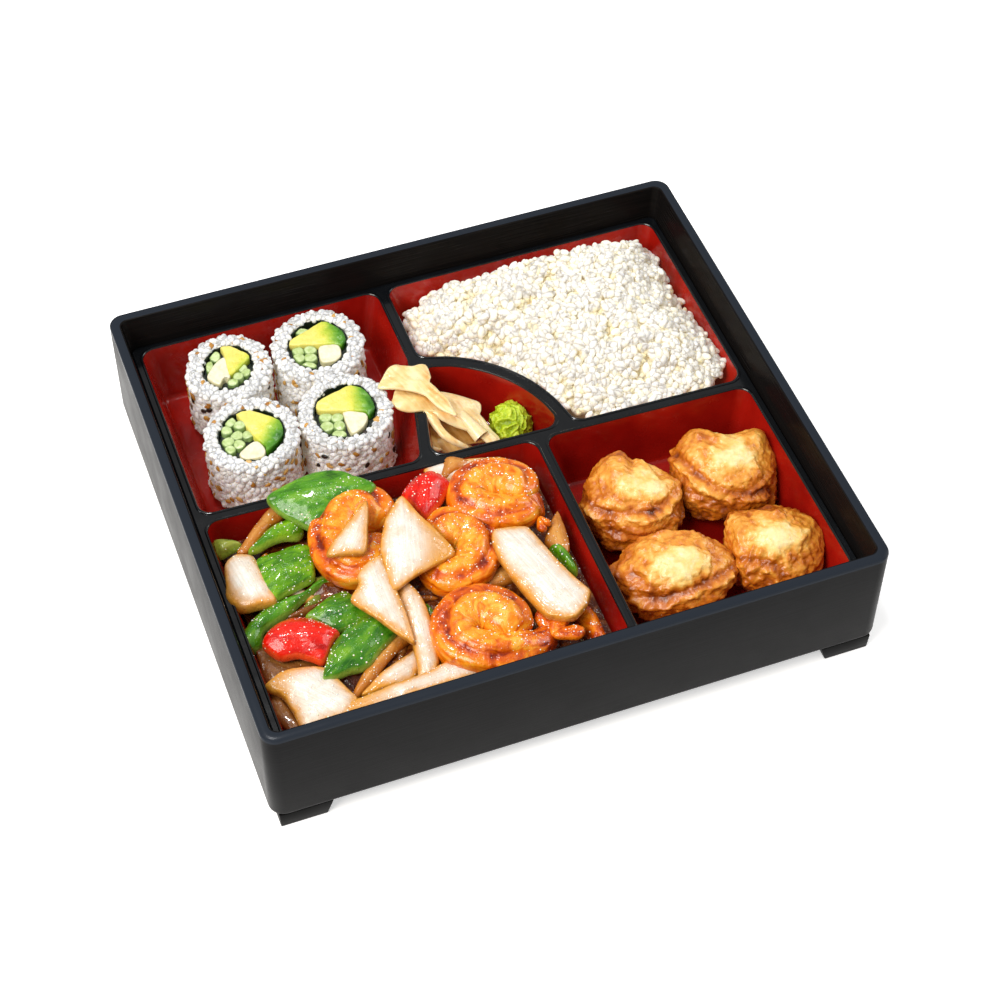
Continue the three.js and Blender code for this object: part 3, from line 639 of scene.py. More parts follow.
# Painted shade: the grains of the lower layer, seen in the gaps, are a darker and warmer copy of the rice.
DEEP_RICE = RiceGrain("rice_grain_deep", "rice", pale="f8eed2", warm="ecdcae")
ROLL_RICE = RiceGrain("roll_rice_grain", "rice", pale="fbfbfa", warm="ebebe6", glow=0.03)
PASTE = RicePaste("rice_paste", "rice")
ROLL_PASTE = RicePaste("roll_rice_paste", "rice", pale="f2f2ee", deep="d5d2c8")
NORI = Seaweed("seaweed_sheet", "seaweed")
AVOCADO = Avocado("avocado_flesh", "avocado")
CUCUMBER = CutVegetable("cucumber_flesh", "cucumber")
WHITE_STICK = CutVegetable("white_filling", "white_stick", flesh="e9e5cf", seed="dcd7b6", skin="d0c898")
SESAME = Sesame("sesame", "rice")
GINGER = PickledGinger("pickled_ginger", "ginger")
WASABI = WasabiPaste("wasabi_paste", "wasabi")
DOUGH = FriedDough("dough_crust", "fried_dough")
SHRIMP = ShrimpFlesh("shrimp_flesh", "shrimp", deepen=0.08)
ONION = OnionFlesh("onion_flesh", "onion")
GOLDEN_ONION = OnionFlesh("onion_golden", "onion", pale="dfae62", vein="cf9240", edge="b4691a", deep="8a4a10", browned=0.2)
BROWN_ONION = OnionFlesh("onion_browned", "onion", pale="b08045", vein="925c26", edge="6c3810", deep="4a2208", browned=0.3)
GREEN = PepperSkin("green_skin", "green_vegetable")
DEEP_GREEN = PepperSkin("green_deep", "green_vegetable", light="6fa01c", mid="3f7d12", dark="1f5a10", cut="8fb545")
DULL_GREEN = PepperSkin("green_dull", "green_vegetable", light="a1a840", mid="75822a", dark="4b5a16")
PEA = PepperSkin("pea_skin", "green_vegetable", light="74a828", mid="478812", dark="2a5e08", cut="93b84a")
RED = PepperSkin("red_skin", "red_pepper", light="ee2c10", mid="dc1404", dark="a40602", cut="f05a28")
TAIL = ShrimpFlesh("tail_shell", "shrimp", deepen=0.62)
SAUCE = Sauce("brown_sauce", "sauce")
DROPLET = Droplet("glaze_droplet", "sauce")


# ------------------------------------------------------------------ meshes
def sheet(columns: int, rows: int, place: Place) -> bmesh.types.BMesh:
    """A grid of faces laid over a surface, with its meeting edges and poles joined.

    Args:
        columns: Faces round the surface.
        rows: Faces along it.
        place: Gives the point for shares 0 to 1 round and along.

    Returns:
        The mesh, with a UV map of the two shares.
    """
    bm = bmesh.new()
    bm.loops.layers.uv.new("UVMap")
    bmesh.ops.create_grid(bm, x_segments=columns, y_segments=rows, size=0.5, calc_uvs=True)
    around, along = bm.verts.layers.float.new("around"), bm.verts.layers.float.new("along")
    for vert in bm.verts:
        vert[around] = round((vert.co.x + 0.5) * columns) / columns
        vert[along] = round((vert.co.y + 0.5) * rows) / rows
        vert.co = place(vert[around], vert[along])
    bmesh.ops.remove_doubles(bm, verts=bm.verts, dist=1e-3)
    bmesh.ops.recalc_face_normals(bm, faces=bm.faces)
    return bm


def join(target: bmesh.types.BMesh, other: bmesh.types.BMesh) -> None:
    """Adds another mesh to target, and frees it."""
    carrier = bpy.data.meshes.new("carrier")
    other.to_mesh(carrier)
    other.free()
    target.from_mesh(carrier)
    bpy.data.meshes.remove(carrier)


def crease(bm: bmesh.types.BMesh, angle: float = 35.0) -> None:
    """Shades the mesh smooth, but for edges sharper than the angle in degrees."""
    for face in bm.faces:
        face.smooth = True
    for edge in bm.edges:
        edge.smooth = edge.calc_face_angle(0.0) < math.radians(angle)


def piece(
    bm: bmesh.types.BMesh,
    name: str,
    finishes: Sequence[Finish],
    replaces: Sequence[str] = (),
    sharp: float = 35.0,
) -> bpy.types.Object:
    """Makes a mesh into a piece of the object.

    Args:
        bm: The mesh in millimetres, which is freed.
        name: The piece's name.
        finishes: What it is made of, in the order of its faces' material indices.
        replaces: The frame nodes that it stands for.
        sharp: The angle over which an edge is shaded sharp.

    Returns:
        The piece.
    """
    crease(bm, sharp)
    bmesh.ops.scale(bm, vec=(MM, MM, MM), verts=bm.verts)
    mesh = bpy.data.meshes.new(name)
    bm.to_mesh(mesh)
    bm.free()
    return mount(mesh, name, finishes, replaces)


def mount(
    mesh: bpy.types.Mesh, name: str, finishes: Sequence[Finish], replaces: Sequence[str] = ()
) -> bpy.types.Object:
    """Adds a finished mesh to the frame's one body."""
    for finish in finishes:
        mesh.materials.append(finish.material())
    thing = bpy.data.objects.new(name, mesh)
    bpy.context.scene.collection.objects.link(thing)
    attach(thing, "root")
    if replaces:
        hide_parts(*replaces)
    return thing


def scatter(
    name: str,
    template: bmesh.types.BMesh,
    places: Sequence[Matrix],
    finish: Finish,
    seed: int,
) -> bpy.types.Object:
    """Many copies of one small shape as one piece.

    Args:
        name: The piece's name.
        template: The small shape in millimetres, which is freed.
        places: Where each copy goes, in millimetres.
        finish: What they are made of. It can read each copy's own "tone", from 0 to 1.
        seed: Seeds the tones.

    Returns:
        The piece.
    """
    template.verts.ensure_lookup_table()
    points = np.array([v.co for v in template.verts])
    faces = np.array([[v.index for v in f.verts] for f in template.faces])
    template.free()
    turns = np.array([m.to_3x3() for m in places])
    moves = np.array([m.translation for m in places])
    all_points = np.einsum("nij,pj->npi", turns, points) + moves[:, None, :]
    all_faces = faces[None] + (np.arange(len(places)) * len(points))[:, None, None]
    mesh = bpy.data.meshes.new(name)
    mesh.from_pydata((all_points.reshape(-1, 3) * MM).tolist(), [], all_faces.reshape(-1, faces.shape[1]).tolist())
    mesh.polygons.foreach_set("use_smooth", np.ones(len(mesh.polygons), dtype=bool))
    tones = np.repeat(np.random.default_rng(seed).random(len(places)), len(points))
    mesh.attributes.new("tone", "FLOAT", "POINT").data.foreach_set("value", tones.astype(np.float32))
    return mount(mesh, name, [finish])


def grain_shape(length: float, width: float, bend: float) -> bmesh.types.BMesh:
    """One plump grain lying along X."""
    bm = bmesh.new()
    bmesh.ops.create_icosphere(bm, subdivisions=2, radius=1.0)
    for vert in bm.verts:
        x, y, z = vert.co
        fat = 1 - 0.12 * x * x
        vert.co = Vector((x * length / 2, y * width / 2 * fat, z * width * 0.46 * fat + bend * (0.4 - x * x)))
    return bm


def turned_to(normal: Vector, spin: float) -> Matrix:
    """A turn that brings +Z to a normal, after a spin about +Z in radians."""
    return normal.to_track_quat("Z", "Y").to_matrix() @ Matrix.Rotation(spin, 3, "Z")


def at(point: Vector, turn: Matrix, size: float = 1.0) -> Matrix:
    """A place: a size, then a turn, then a move."""
    return Matrix.Translation(point) @ (turn @ Matrix.Scale(size, 3)).to_4x4()


# ------------------------------------------------------------------ outlines
def offset_outline(points: Outline, inset: float) -> Outline:
    """An anticlockwise outline moved inwards, corner by corner."""
    moved = []
    for i, p in enumerate(points):
        a = (p - points[i - 1]).normalized()
        b = (points[(i + 1) % len(points)] - p).normalized()
        side_a, side_b = Vector((-a.y, a.x)), Vector((-b.y, b.x))
        mitre = (side_a + side_b).normalized()
        moved.append(p + mitre * (inset / mitre.dot(side_a)))
    return moved


def round_outline(points: Outline, radius: float, segments: int, corners: Sequence[int]) -> Outline:
    """An outline whose listed corners become arcs."""
    rounded: Outline = []
    for i, p in enumerate(points):
        if i not in corners:
            rounded.append(p.copy())
            continue
        a = (points[i - 1] - p).normalized()
        b = (points[(i + 1) % len(points)] - p).normalized()
        half = math.acos(max(-1.0, min(1.0, a.dot(b)))) / 2
        centre = p + (a + b).normalized() * (radius / math.sin(half))
        start = p + a * (radius / math.tan(half)) - centre
        end = p + b * (radius / math.tan(half)) - centre
        turn = math.atan2(start.x * end.y - start.y * end.x, start.dot(end))
        for k in range(segments + 1):
            rounded.append(centre + Matrix.Rotation(turn * k / segments, 2) @ start)
    return rounded


def rounded_rectangle(half_x: float, half_y: float, radius: float, segments: int = 8) -> Outline:
    """A rectangle about the origin with round corners, anticlockwise."""
    corners = [Vector(c) for c in ((-half_x, -half_y), (half_x, -half_y), (half_x, half_y), (-half_x, half_y))]
    return round_outline(corners, radius, segments, range(4))


def skin(outlines: Sequence[tuple[Outline, float]]) -> bmesh.types.BMesh:
    """A wall through outlines with equal numbers of points, each at its own height."""
    count = len(outlines[0][0])
    rows = len(outlines) - 1

    def place(round_share: float, along: float) -> Vector:
        outline, z = outlines[round(along * rows)]
        p = outline[round(round_share * count) % count]
        return Vector((p.x, p.y, z))

    return sheet(count, rows, place)


# ------------------------------------------------------------------ the box
@dataclass
class LacquerBox:
    """The outer box on its four corner feet."""

    radius: float = 6.5
    taper: float = 0.1
    base: float = 8.0
    rim_wall: float = 4.8
    rim_band: float = 1.7
    ledge_wall: float = 6.9
    lower_wall: float = 8.7
    ledge: float = 44.05
    floor: float = 10.0
    foot_reach: float = 20.0
    foot_width: float = 6.5
    foot_inset_x: float = 3.0
    foot_inset_y: float = 0.8
    foot_lean: float = 0.4
    foot_flare: float = 2.9

    def build(self) -> None:
        """Builds the shell and the feet."""
        low, high = box_of("box")
        self.half_x, self.half_y = (high.x - low.x) / 2, (high.y - low.y) / 2
        self.top = high.z
        self.dress(self.shell(), self.feet())

    def ring(self, inset: float, z: float, radius: float | None = None) -> tuple[Outline, float]:
        """The box's outline, moved in from the rim, at a height."""
        corner = self.radius - inset / 3 if radius is None else radius
        return rounded_rectangle(self.half_x - inset, self.half_y - inset, max(corner, 1.0)), z

    def shell(self) -> bmesh.types.BMesh:
        """The open box, outside and inside in one skin."""
        round_base = 3.2
        rows = [
            self.ring(self.taper + round_base * (1 - math.sin(a)), self.base + round_base * (1 - math.cos(a)))
            for a in np.linspace(0, math.pi / 2, 6)
        ]
        band = self.top - self.rim_band
        rows += [
            self.ring(self.taper * 0.55, band - 0.25),
            self.ring(0.1, band),
            self.ring(0.0, band + 0.15),
            self.ring(0.0, self.top - 0.8),
            self.ring(0.23, self.top - 0.25),
            self.ring(0.75, self.top),
            self.ring(self.rim_wall - 0.7, self.top, 4.2),
            self.ring(self.rim_wall - 0.2, self.top - 0.2, 3.9),
            self.ring(self.rim_wall, self.top - 0.7, 3.7),
            self.ring(self.ledge_wall, self.ledge, 3.5),
            self.ring(self.lower_wall, self.ledge, 3.2),
            self.ring(self.lower_wall + 0.8, self.floor + 1.5, 3.0),
            self.ring(self.lower_wall + 2.3, self.floor, 2.4),
        ]
        bm = skin(rows)
        bmesh.ops.holes_fill(bm, edges=[e for e in bm.edges if e.is_boundary], sides=0)
        bmesh.ops.recalc_face_normals(bm, faces=bm.faces)
        for face in bm.faces:
            middle = face.calc_center_median()
            inside = abs(middle.x) < self.half_x - 4.3 and abs(middle.y) < self.half_y - 4.3
            face.material_index = 1 if inside and middle.z > self.floor - 0.5 else 0
        return bm

    def feet(self) -> bmesh.types.BMesh:
        """Four L-shaped feet, wider at the top."""
        all_feet = bmesh.new()
        for sign_x in (-1, 1):
            for sign_y in (-1, 1):
                outer_x = self.half_x - self.foot_inset_x - self.foot_lean
                outer_y = self.half_y - self.foot_inset_y - self.foot_lean
                bm = bmesh.new()
                bmesh.ops.create_cube(bm, size=1.0)
                reach, width = self.foot_reach, self.foot_width
                bmesh.ops.transform(
                    bm, matrix=Matrix.Diagonal((reach, width, self.base, 1)), verts=bm.verts
                )
                bmesh.ops.translate(bm, vec=(outer_x - reach / 2, outer_y - width / 2, self.base / 2), verts=bm.verts)
                bmesh.ops.bisect_plane(
                    bm,
                    geom=bm.verts[:] + bm.edges[:] + bm.faces[:],
                    plane_co=(outer_x - width, 0, 0),
                    plane_no=(1, 0, 0),
                )
                inner = [
                    f
                    for f in bm.faces
                    if f.normal.y < -0.9 and f.calc_center_median().x > outer_x - width
                ]
                leg = bmesh.ops.extrude_face_region(bm, geom=inner)
                bmesh.ops.translate(
                    bm, vec=(0, width - reach, 0), verts=[v for v in leg["geom"] if isinstance(v, bmesh.types.BMVert)]
                )
                bmesh.ops.delete(bm, geom=inner, context="FACES")
                middle = Vector((outer_x - width / 2, outer_y - width / 2, 0))
                for vert in bm.verts:
                    if vert.co.z > 1:
                        away = vert.co - middle
                        flare_x = self.foot_flare if away.x < -width else self.foot_lean
                        flare_y = self.foot_flare if away.y < -width else self.foot_lean
                        vert.co.x += math.copysign(flare_x, away.x)
                        vert.co.y += math.copysign(flare_y, away.y)
                        vert.co.z = self.base + 0.8
                bmesh.ops.remove_doubles(bm, verts=bm.verts, dist=1e-3)
                sharp = [e for e in bm.edges if e.calc_face_angle(0.0) > 0.5]
                bmesh.ops.bevel(
                    bm, geom=sharp, offset=0.5, segments=2, affect="EDGES", profile=0.5, material=-1
                )
                bmesh.ops.scale(bm, vec=(sign_x, sign_y, 1), verts=bm.verts)
                bmesh.ops.recalc_face_normals(bm, faces=bm.faces)
                join(all_feet, bm)
        return all_feet

    def dress(self, shell: bmesh.types.BMesh, feet: bmesh.types.BMesh) -> None:
        """Makes the pieces with their lacquer."""
        piece(shell, "box_shell", [BOX_OUTSIDE, BOX_INSIDE], ["box"], sharp=30.0)
        piece(feet, "box_feet", [BOX_FEET], ["box"])


# ------------------------------------------------------------------ the tray
@dataclass
class Compartment:
    """One cup of the tray: its outline at the top, and which of its points are corners."""

    points: list[tuple[float, float]]
    corners: Sequence[int]
    draft: float = 7.0


@dataclass
class Tray:
    """The drop-in tray: a black plate and dividers over deep red cups."""

    floor: float = 19.0
    half_x: float = 124.5
    half_y: float = 111.4
    divider: float = 5.2
    corner: float = 6.0
    wall: float = 1.6
    arc_centre: tuple[float, float] = (-21.0, 1.5)
    arc_inner: float = 59.6
    arc_outer: float = 65.8
    arc_steps: int = 24
    split: float = 26.3
    lip: float = 0.5

    def across(self, x: float) -> float:
        """The middle of the divider that runs from side to side."""
        return 4.6 - 0.0272 * x

    def front(self, x: float) -> tuple[float, float]:
        """A point on the divider's front edge."""
        return x, self.across(x) - self.divider / 2

    def back(self, x: float) -> tuple[float, float]:
        """A point on the divider's back edge."""
        return x, self.across(x) + self.divider / 2

    def arc(self, radius: float, start: float, end: float) -> list[tuple[float, float]]:
        """Points on the round wall, between angles in degrees."""
        cx, cy = self.arc_centre
        angles = np.radians(np.linspace(start, end, self.arc_steps + 1))
        return [(cx + radius * math.cos(a), cy + radius * math.sin(a)) for a in angles]

    def compartments(self) -> dict[str, Compartment]:
        """The five cups."""
        right, back = self.half_x, self.half_y
        steps = self.arc_steps
        return {
            "stir_fry": Compartment(
                [(-right, -back), (self.split - 2.7, -back), self.front(self.split - 2.4), self.front(-right)],
                range(4),
            ),
            "dumplings": Compartment(
                [(self.split + 1.6, -back), (right, -back), self.front(right), self.front(self.split + 2.8)],
                range(4),
            ),
            "sushi": Compartment(
                [self.back(-right), self.back(-26.6), (-12.6, 66.0), (-12.6, back), (-right, back)],
                range(5),
            ),
            "rice": Compartment(
                [self.back(right), (right, back), (-7.2, back), (-7.2, 65.9)]
                + self.arc(self.arc_outer, 67, 15)
                + [self.back(45.6)],
                (0, 1, 2, 3, 4 + steps + 1),
            ),
            "ginger": Compartment(
                [self.back(-21.0), self.back(39.0)] + self.arc(self.arc_inner, 17, 65) + [(-8.6, 59.7)],
                (0, 1, 2 + steps + 1),
                4.5,
            ),
        }

    def build(self) -> None:
        """Builds the moulding."""
        low, high = box_of("tray")
        self.top = high.z
        self.plate_x, self.plate_y = (high.x - low.x) / 2, (high.y - low.y) / 2
        self.dress(self.moulding())

    def cup(self, shape: Compartment) -> bmesh.types.BMesh:
        """A cup's skin, from the outside of its lip to its floor."""
        depth = self.top - self.floor
        profile = [(-1.3, 0.0), (-1.2, 0.3), (-0.85, self.lip), (-0.35, self.lip - 0.05), (-0.1, self.lip * 0.4), (0.0, -0.1)]
        profile += [(shape.draft * s * 0.86, -0.1 - depth * s * 0.93) for s in (0.33, 0.66, 1.0)]
        profile += [(shape.draft * 0.86 + 0.5, -depth + 0.85), (shape.draft + 0.4, -depth + 0.25), (shape.draft + 1.8, -depth)]
        points = [Vector(p) for p in shape.points]
        rows = [
            (
                round_outline(offset_outline(points, inset), self.corner - inset / 4, 10, shape.corners),
                self.top + z,
            )
            for inset, z in profile
        ]
        bm = skin(rows)
        bottom = [e for e in bm.edges if e.is_boundary and e.verts[0].co.z < self.floor + 0.1]
        bmesh.ops.holes_fill(bm, edges=bottom, sides=0)
        return bm

    def moulding(self) -> bmesh.types.BMesh:
        """All five cups, joined by the plate round them."""
        bm = bmesh.new()
        for shape in self.compartments().values():
            join(bm, self.cup(shape))
        plate = skin(
            [
                (rounded_rectangle(self.plate_x, self.plate_y, 3.2), self.top - 2.0),
                (rounded_rectangle(self.plate_x, self.plate_y, 3.2), self.top - 0.4),
                (rounded_rectangle(self.plate_x - 0.4, self.plate_y - 0.4, 3.1), self.top),
            ]
        )
        join(bm, plate)
        rim = [e for e in bm.edges if e.is_boundary and e.verts[0].co.z > self.top - 0.1]
        bmesh.ops.triangle_fill(bm, use_beauty=True, edges=rim)
        bmesh.ops.remove_doubles(bm, verts=bm.verts, dist=1e-3)
        bmesh.ops.recalc_face_normals(bm, faces=bm.faces)
        flat = [f for f in bm.faces if abs(f.normal.z) > 0.99 and f.calc_center_median().z > self.top - 0.05]
        if sum(f.normal.z * f.calc_area() for f in flat) < 0:
            bmesh.ops.reverse_faces(bm, faces=bm.faces)
        for face in bm.faces:
            face.material_index = 1 if face.calc_center_median().z < self.top - 0.12 and self.within(face) else 0
        return bm

    def within(self, face: bmesh.types.BMFace) -> bool:
        """Whether a face is inside a cup and not on the plate's outer edge."""
        middle = face.calc_center_median()
        return abs(middle.x) < self.half_x + 1 and abs(middle.y) < self.half_y + 1

    def dress(self, moulding: bmesh.types.BMesh) -> None:
        """Makes the piece: black on top and red in the cups."""
        tray = piece(moulding, "tray_moulding", [TRAY_BLACK, TRAY_RED], ["tray"], sharp=32.0)
        wall = tray.modifiers.new("wall", "SOLIDIFY")
        wall.thickness = self.wall * MM
        wall.offset = -1.0


# ------------------------------------------------------------------ pieces cut to an outline
VIEW_YAW = -21.0  # outlines are drawn looking from this side of the front, in degrees
VIEW_RISE = math.radians(50.4)
Pair = tuple[float, float]


def curve_through(points: Sequence[Sequence[float]], step: float, closed: bool = True) -> np.ndarray:
    """Evenly spaced points on a smooth curve.

    Args:
        points: What the curve runs through.
        step: The spacing along it, about.
        closed: Whether it comes back to its start.

    Returns:
        One row for each point.
    """
    knots = np.array(points, float)
    count = len(knots)
    dense = []
    for i in range(count if closed else count - 1):
        picks = [(i + k) % count if closed else min(max(i + k, 0), count - 1) for k in (-1, 0, 1, 2)]
        p0, p1, p2, p3 = knots[picks]
        for t in np.linspace(0, 1, 12, endpoint=False):
            cubic = (3 * p1 - p0 - 3 * p2 + p3) * t**3
            dense.append(0.5 * (2 * p1 + (p2 - p0) * t + (2 * p0 - 5 * p1 + 4 * p2 - p3) * t * t + cubic))
    dense = np.array(dense + [dense[0] if closed else knots[-1]])
    lengths = np.concatenate([[0.0], np.cumsum(np.linalg.norm(np.diff(dense, axis=0), axis=1))])
    marks = np.linspace(0, lengths[-1], max(int(lengths[-1] / step), 8), endpoint=not closed)
    return np.stack([np.interp(marks, lengths, column) for column in dense.T], axis=1)


def depth_inside(points: np.ndarray, outline: np.ndarray) -> np.ndarray:
    """How far each point lies inside a closed outline: negative outside."""
    start, end = outline, np.roll(outline, -1, axis=0)
    edge = end - start
    away = points[:, None, :] - start[None]
    share = np.clip((away * edge).sum(2) / np.maximum((edge**2).sum(1), 1e-9), 0, 1)
    distance = np.linalg.norm(away - share[..., None] * edge[None], axis=2).min(1)
    x, y = points[:, :1], points[:, 1:]
    spans = (start[:, 1] > y) != (end[:, 1] > y)
    cross = start[:, 0] + (y - start[:, 1]) * edge[:, 0] / np.where(edge[:, 1] == 0, 1e-9, edge[:, 1])
    inside = ((x < cross) & spans).sum(1) % 2 == 1
    return np.where(inside, distance, -distance)


def wafer(outline: np.ndarray, thick: float, step: float, round_edge: float = 1.0) -> bmesh.types.BMesh:
    """A flat body cut to an outline, its edges rounded.

    Args:
        outline: Evenly spaced points round it.
        thick: Its thickness.
        step: The size of its faces.
        round_edge: How far in its edges' rounding reaches.

    Returns:
        The mesh, with layers "rim" for how far each point lies inside the outline and "side" for
        how far up the thickness it lies, from -1 to 1.
    """
    gaps = np.linalg.norm(outline[:, None] - outline[None], axis=2)
    first, last = sorted(int(i) for i in np.unravel_index(gaps.argmax(), gaps.shape))
    sides = (outline[first : last + 1], np.concatenate([outline[last:], outline[: first + 1]])[::-1])
    area = abs(np.cross(outline, np.roll(outline, -1, axis=0)).sum()) / 2
    rows = max(round(1.2 * gaps.max() / step), 12)
    columns = 2 * max(round(1.5 * area / gaps.max() / step), 7)

    def place(share: float, along: float) -> Vector:
        angle = 2 * math.pi * share
        reach, across = 0.5 - 0.5 * math.cos(math.pi * along), 0.5 - 0.5 * math.cos(angle)
        ends = [[np.interp(reach * (len(s) - 1), np.arange(len(s)), s[:, k]) for k in (0, 1)] for s in sides]
        x, y = (ends[0][k] * (1 - across) + ends[1][k] * across for k in (0, 1))
        return Vector((x, y, math.sin(angle) * math.sin(math.pi * along)))

    bm = sheet(columns, rows, place)
    rim, side = bm.verts.layers.float.new("rim"), bm.verts.layers.float.new("side")
    depths = depth_inside(np.array([v.co.xy for v in bm.verts]), outline)
    for vert, depth in zip(bm.verts, depths):
        vert[rim] = max(float(depth), 0.0)
        sign = 0.0 if abs(vert.co.z) < 1e-4 else math.copysign(1.0, vert.co.z)
        vert[side] = sign * math.sqrt(1 - (1 - min(vert[rim] / round_edge, 1.0)) ** 2)
        vert.co.z = vert[side] * thick / 2
    bmesh.ops.recalc_face_normals(bm, faces=bm.faces)
    return bm


@dataclass
class Slice:
    """A flat piece of food cut to an outline, curled and laid on the heap.

    The outline is drawn as the piece is seen from the front, as if it lay flat: right and away
    from its node's middle. Its slopes say how much it rises for each millimetre right and away.
    """

    name: str
    finish: Finish
    outline: Sequence[Pair]
    node: str
    thick: float = 2.7
    rise: float = 0.0
    slopes: Pair = (0.0, 0.0)
    curl: float = 2.0
    dome: float = 0.6
    fibre: float = 60.0
    golden: tuple[float, float, float] = (0.0, 98.0, 99.0)
    ribs: float = 0.12
    waves: float = 0.0
    step: float = 0.85
    extra: bool = False
    shift: tuple[float, float, float] = (0.0, 0.0, 0.0)

    def seed(self) -> float:
        """A number of its own for its unevenness."""
        return sum(ord(c) * (i + 1) for i, c in enumerate(self.name)) * 0.37 % 97

    def laid(self) -> np.ndarray:
        """The outline on the piece's own tilted plane."""
        seen = curve_through(self.outline, self.step)
        right, away = self.slopes
        height = self.rise + right * seen[:, 0]
        flat = math.sin(VIEW_RISE) * seen[:, 1] - math.cos(VIEW_RISE) * height
        return np.stack([seen[:, 0], flat / (math.sin(VIEW_RISE) + away * math.cos(VIEW_RISE))], axis=1)

    def lift(self, point: Vector, depth: float, deepest: float) -> float:
        """How far the middle of the piece's thickness stands off its plane."""
        angle = math.radians(self.fibre)
        across = point.x * math.sin(angle) - point.y * math.cos(angle)
        along = point.x * math.cos(angle) + point.y * math.sin(angle)
        inner = 1 - (1 - min(depth / deepest, 1.0)) ** 2
        seed = self.seed()
        own = Vector((point.x, point.y, seed * 3))
        ribbed = self.ribs * math.sin(across * 2.3 + 1.6 * rough(own, 9.0, 2)) * min(depth / 2, 1.0)
        wave = self.waves * math.sin(0.55 * along + 0.3 * across + seed)
        bowed = self.curl * ((across / (1.35 * deepest)) ** 2 + 0.25 * (along / (2.6 * deepest)) ** 2)
        return self.dome * inner - bowed + ribbed + wave + 0.4 * rough(own, 8.0, 3)

    def build(self) -> bpy.types.Object:
        """Builds and dresses the piece."""
        outline = self.laid()
        middle = outline.mean(0)
        bm = wafer(outline, self.thick, self.step, min(1.1, 0.3 * self.thick))
        rim, side = bm.verts.layers.float["rim"], bm.verts.layers.float["side"]
        grain = bm.verts.layers.float_vector.new("grain")
        tone = bm.verts.layers.float.new("tone")
        deepest = max(v[rim] for v in bm.verts)
        right, away = self.slopes
        normal = Vector((-right, -away, 1)).normalized()
        turn = Matrix.Rotation(math.radians(self.fibre), 3, "Z").transposed()
        heading, start, end = self.golden
        glow = Vector((math.cos(math.radians(heading)), math.sin(math.radians(heading)), 0))
        offset = Vector((self.seed() * 11, self.seed() * 5, self.seed() * 3))
        for vert in bm.verts:
            flat = Vector((vert.co.x, vert.co.y, 0))
            own = flat - Vector((*middle, 0))
            vert[grain] = turn @ (flat + Vector((0, 0, vert.co.z))) + offset
            vert[tone] = smooth(start, end, own.dot(glow) + 1.5 * rough(own + offset, 6.0, 2))
            off = vert.co.z + self.lift(own, vert[rim], deepest)
            off += vert[side] * 0.25 * rough(own * 1.0 + offset, 2.6, 2)
            height = self.rise + right * flat.x + away * flat.y
            vert.co = flat + Vector((0, 0, height)) + normal * off
        bmesh.ops.rotate(bm, matrix=Matrix.Rotation(math.radians(VIEW_YAW), 3, "Z"), verts=bm.verts)
        bmesh.ops.translate(bm, vec=centre_of(self.node) + Vector(self.shift), verts=bm.verts)
        return self.dress(bm)

    def dress(self, bm: bmesh.types.BMesh) -> bpy.types.Object:
        """Makes the piece with its finish."""
        return piece(bm, self.name, [self.finish], [] if self.extra else [self.node], sharp=75.0)


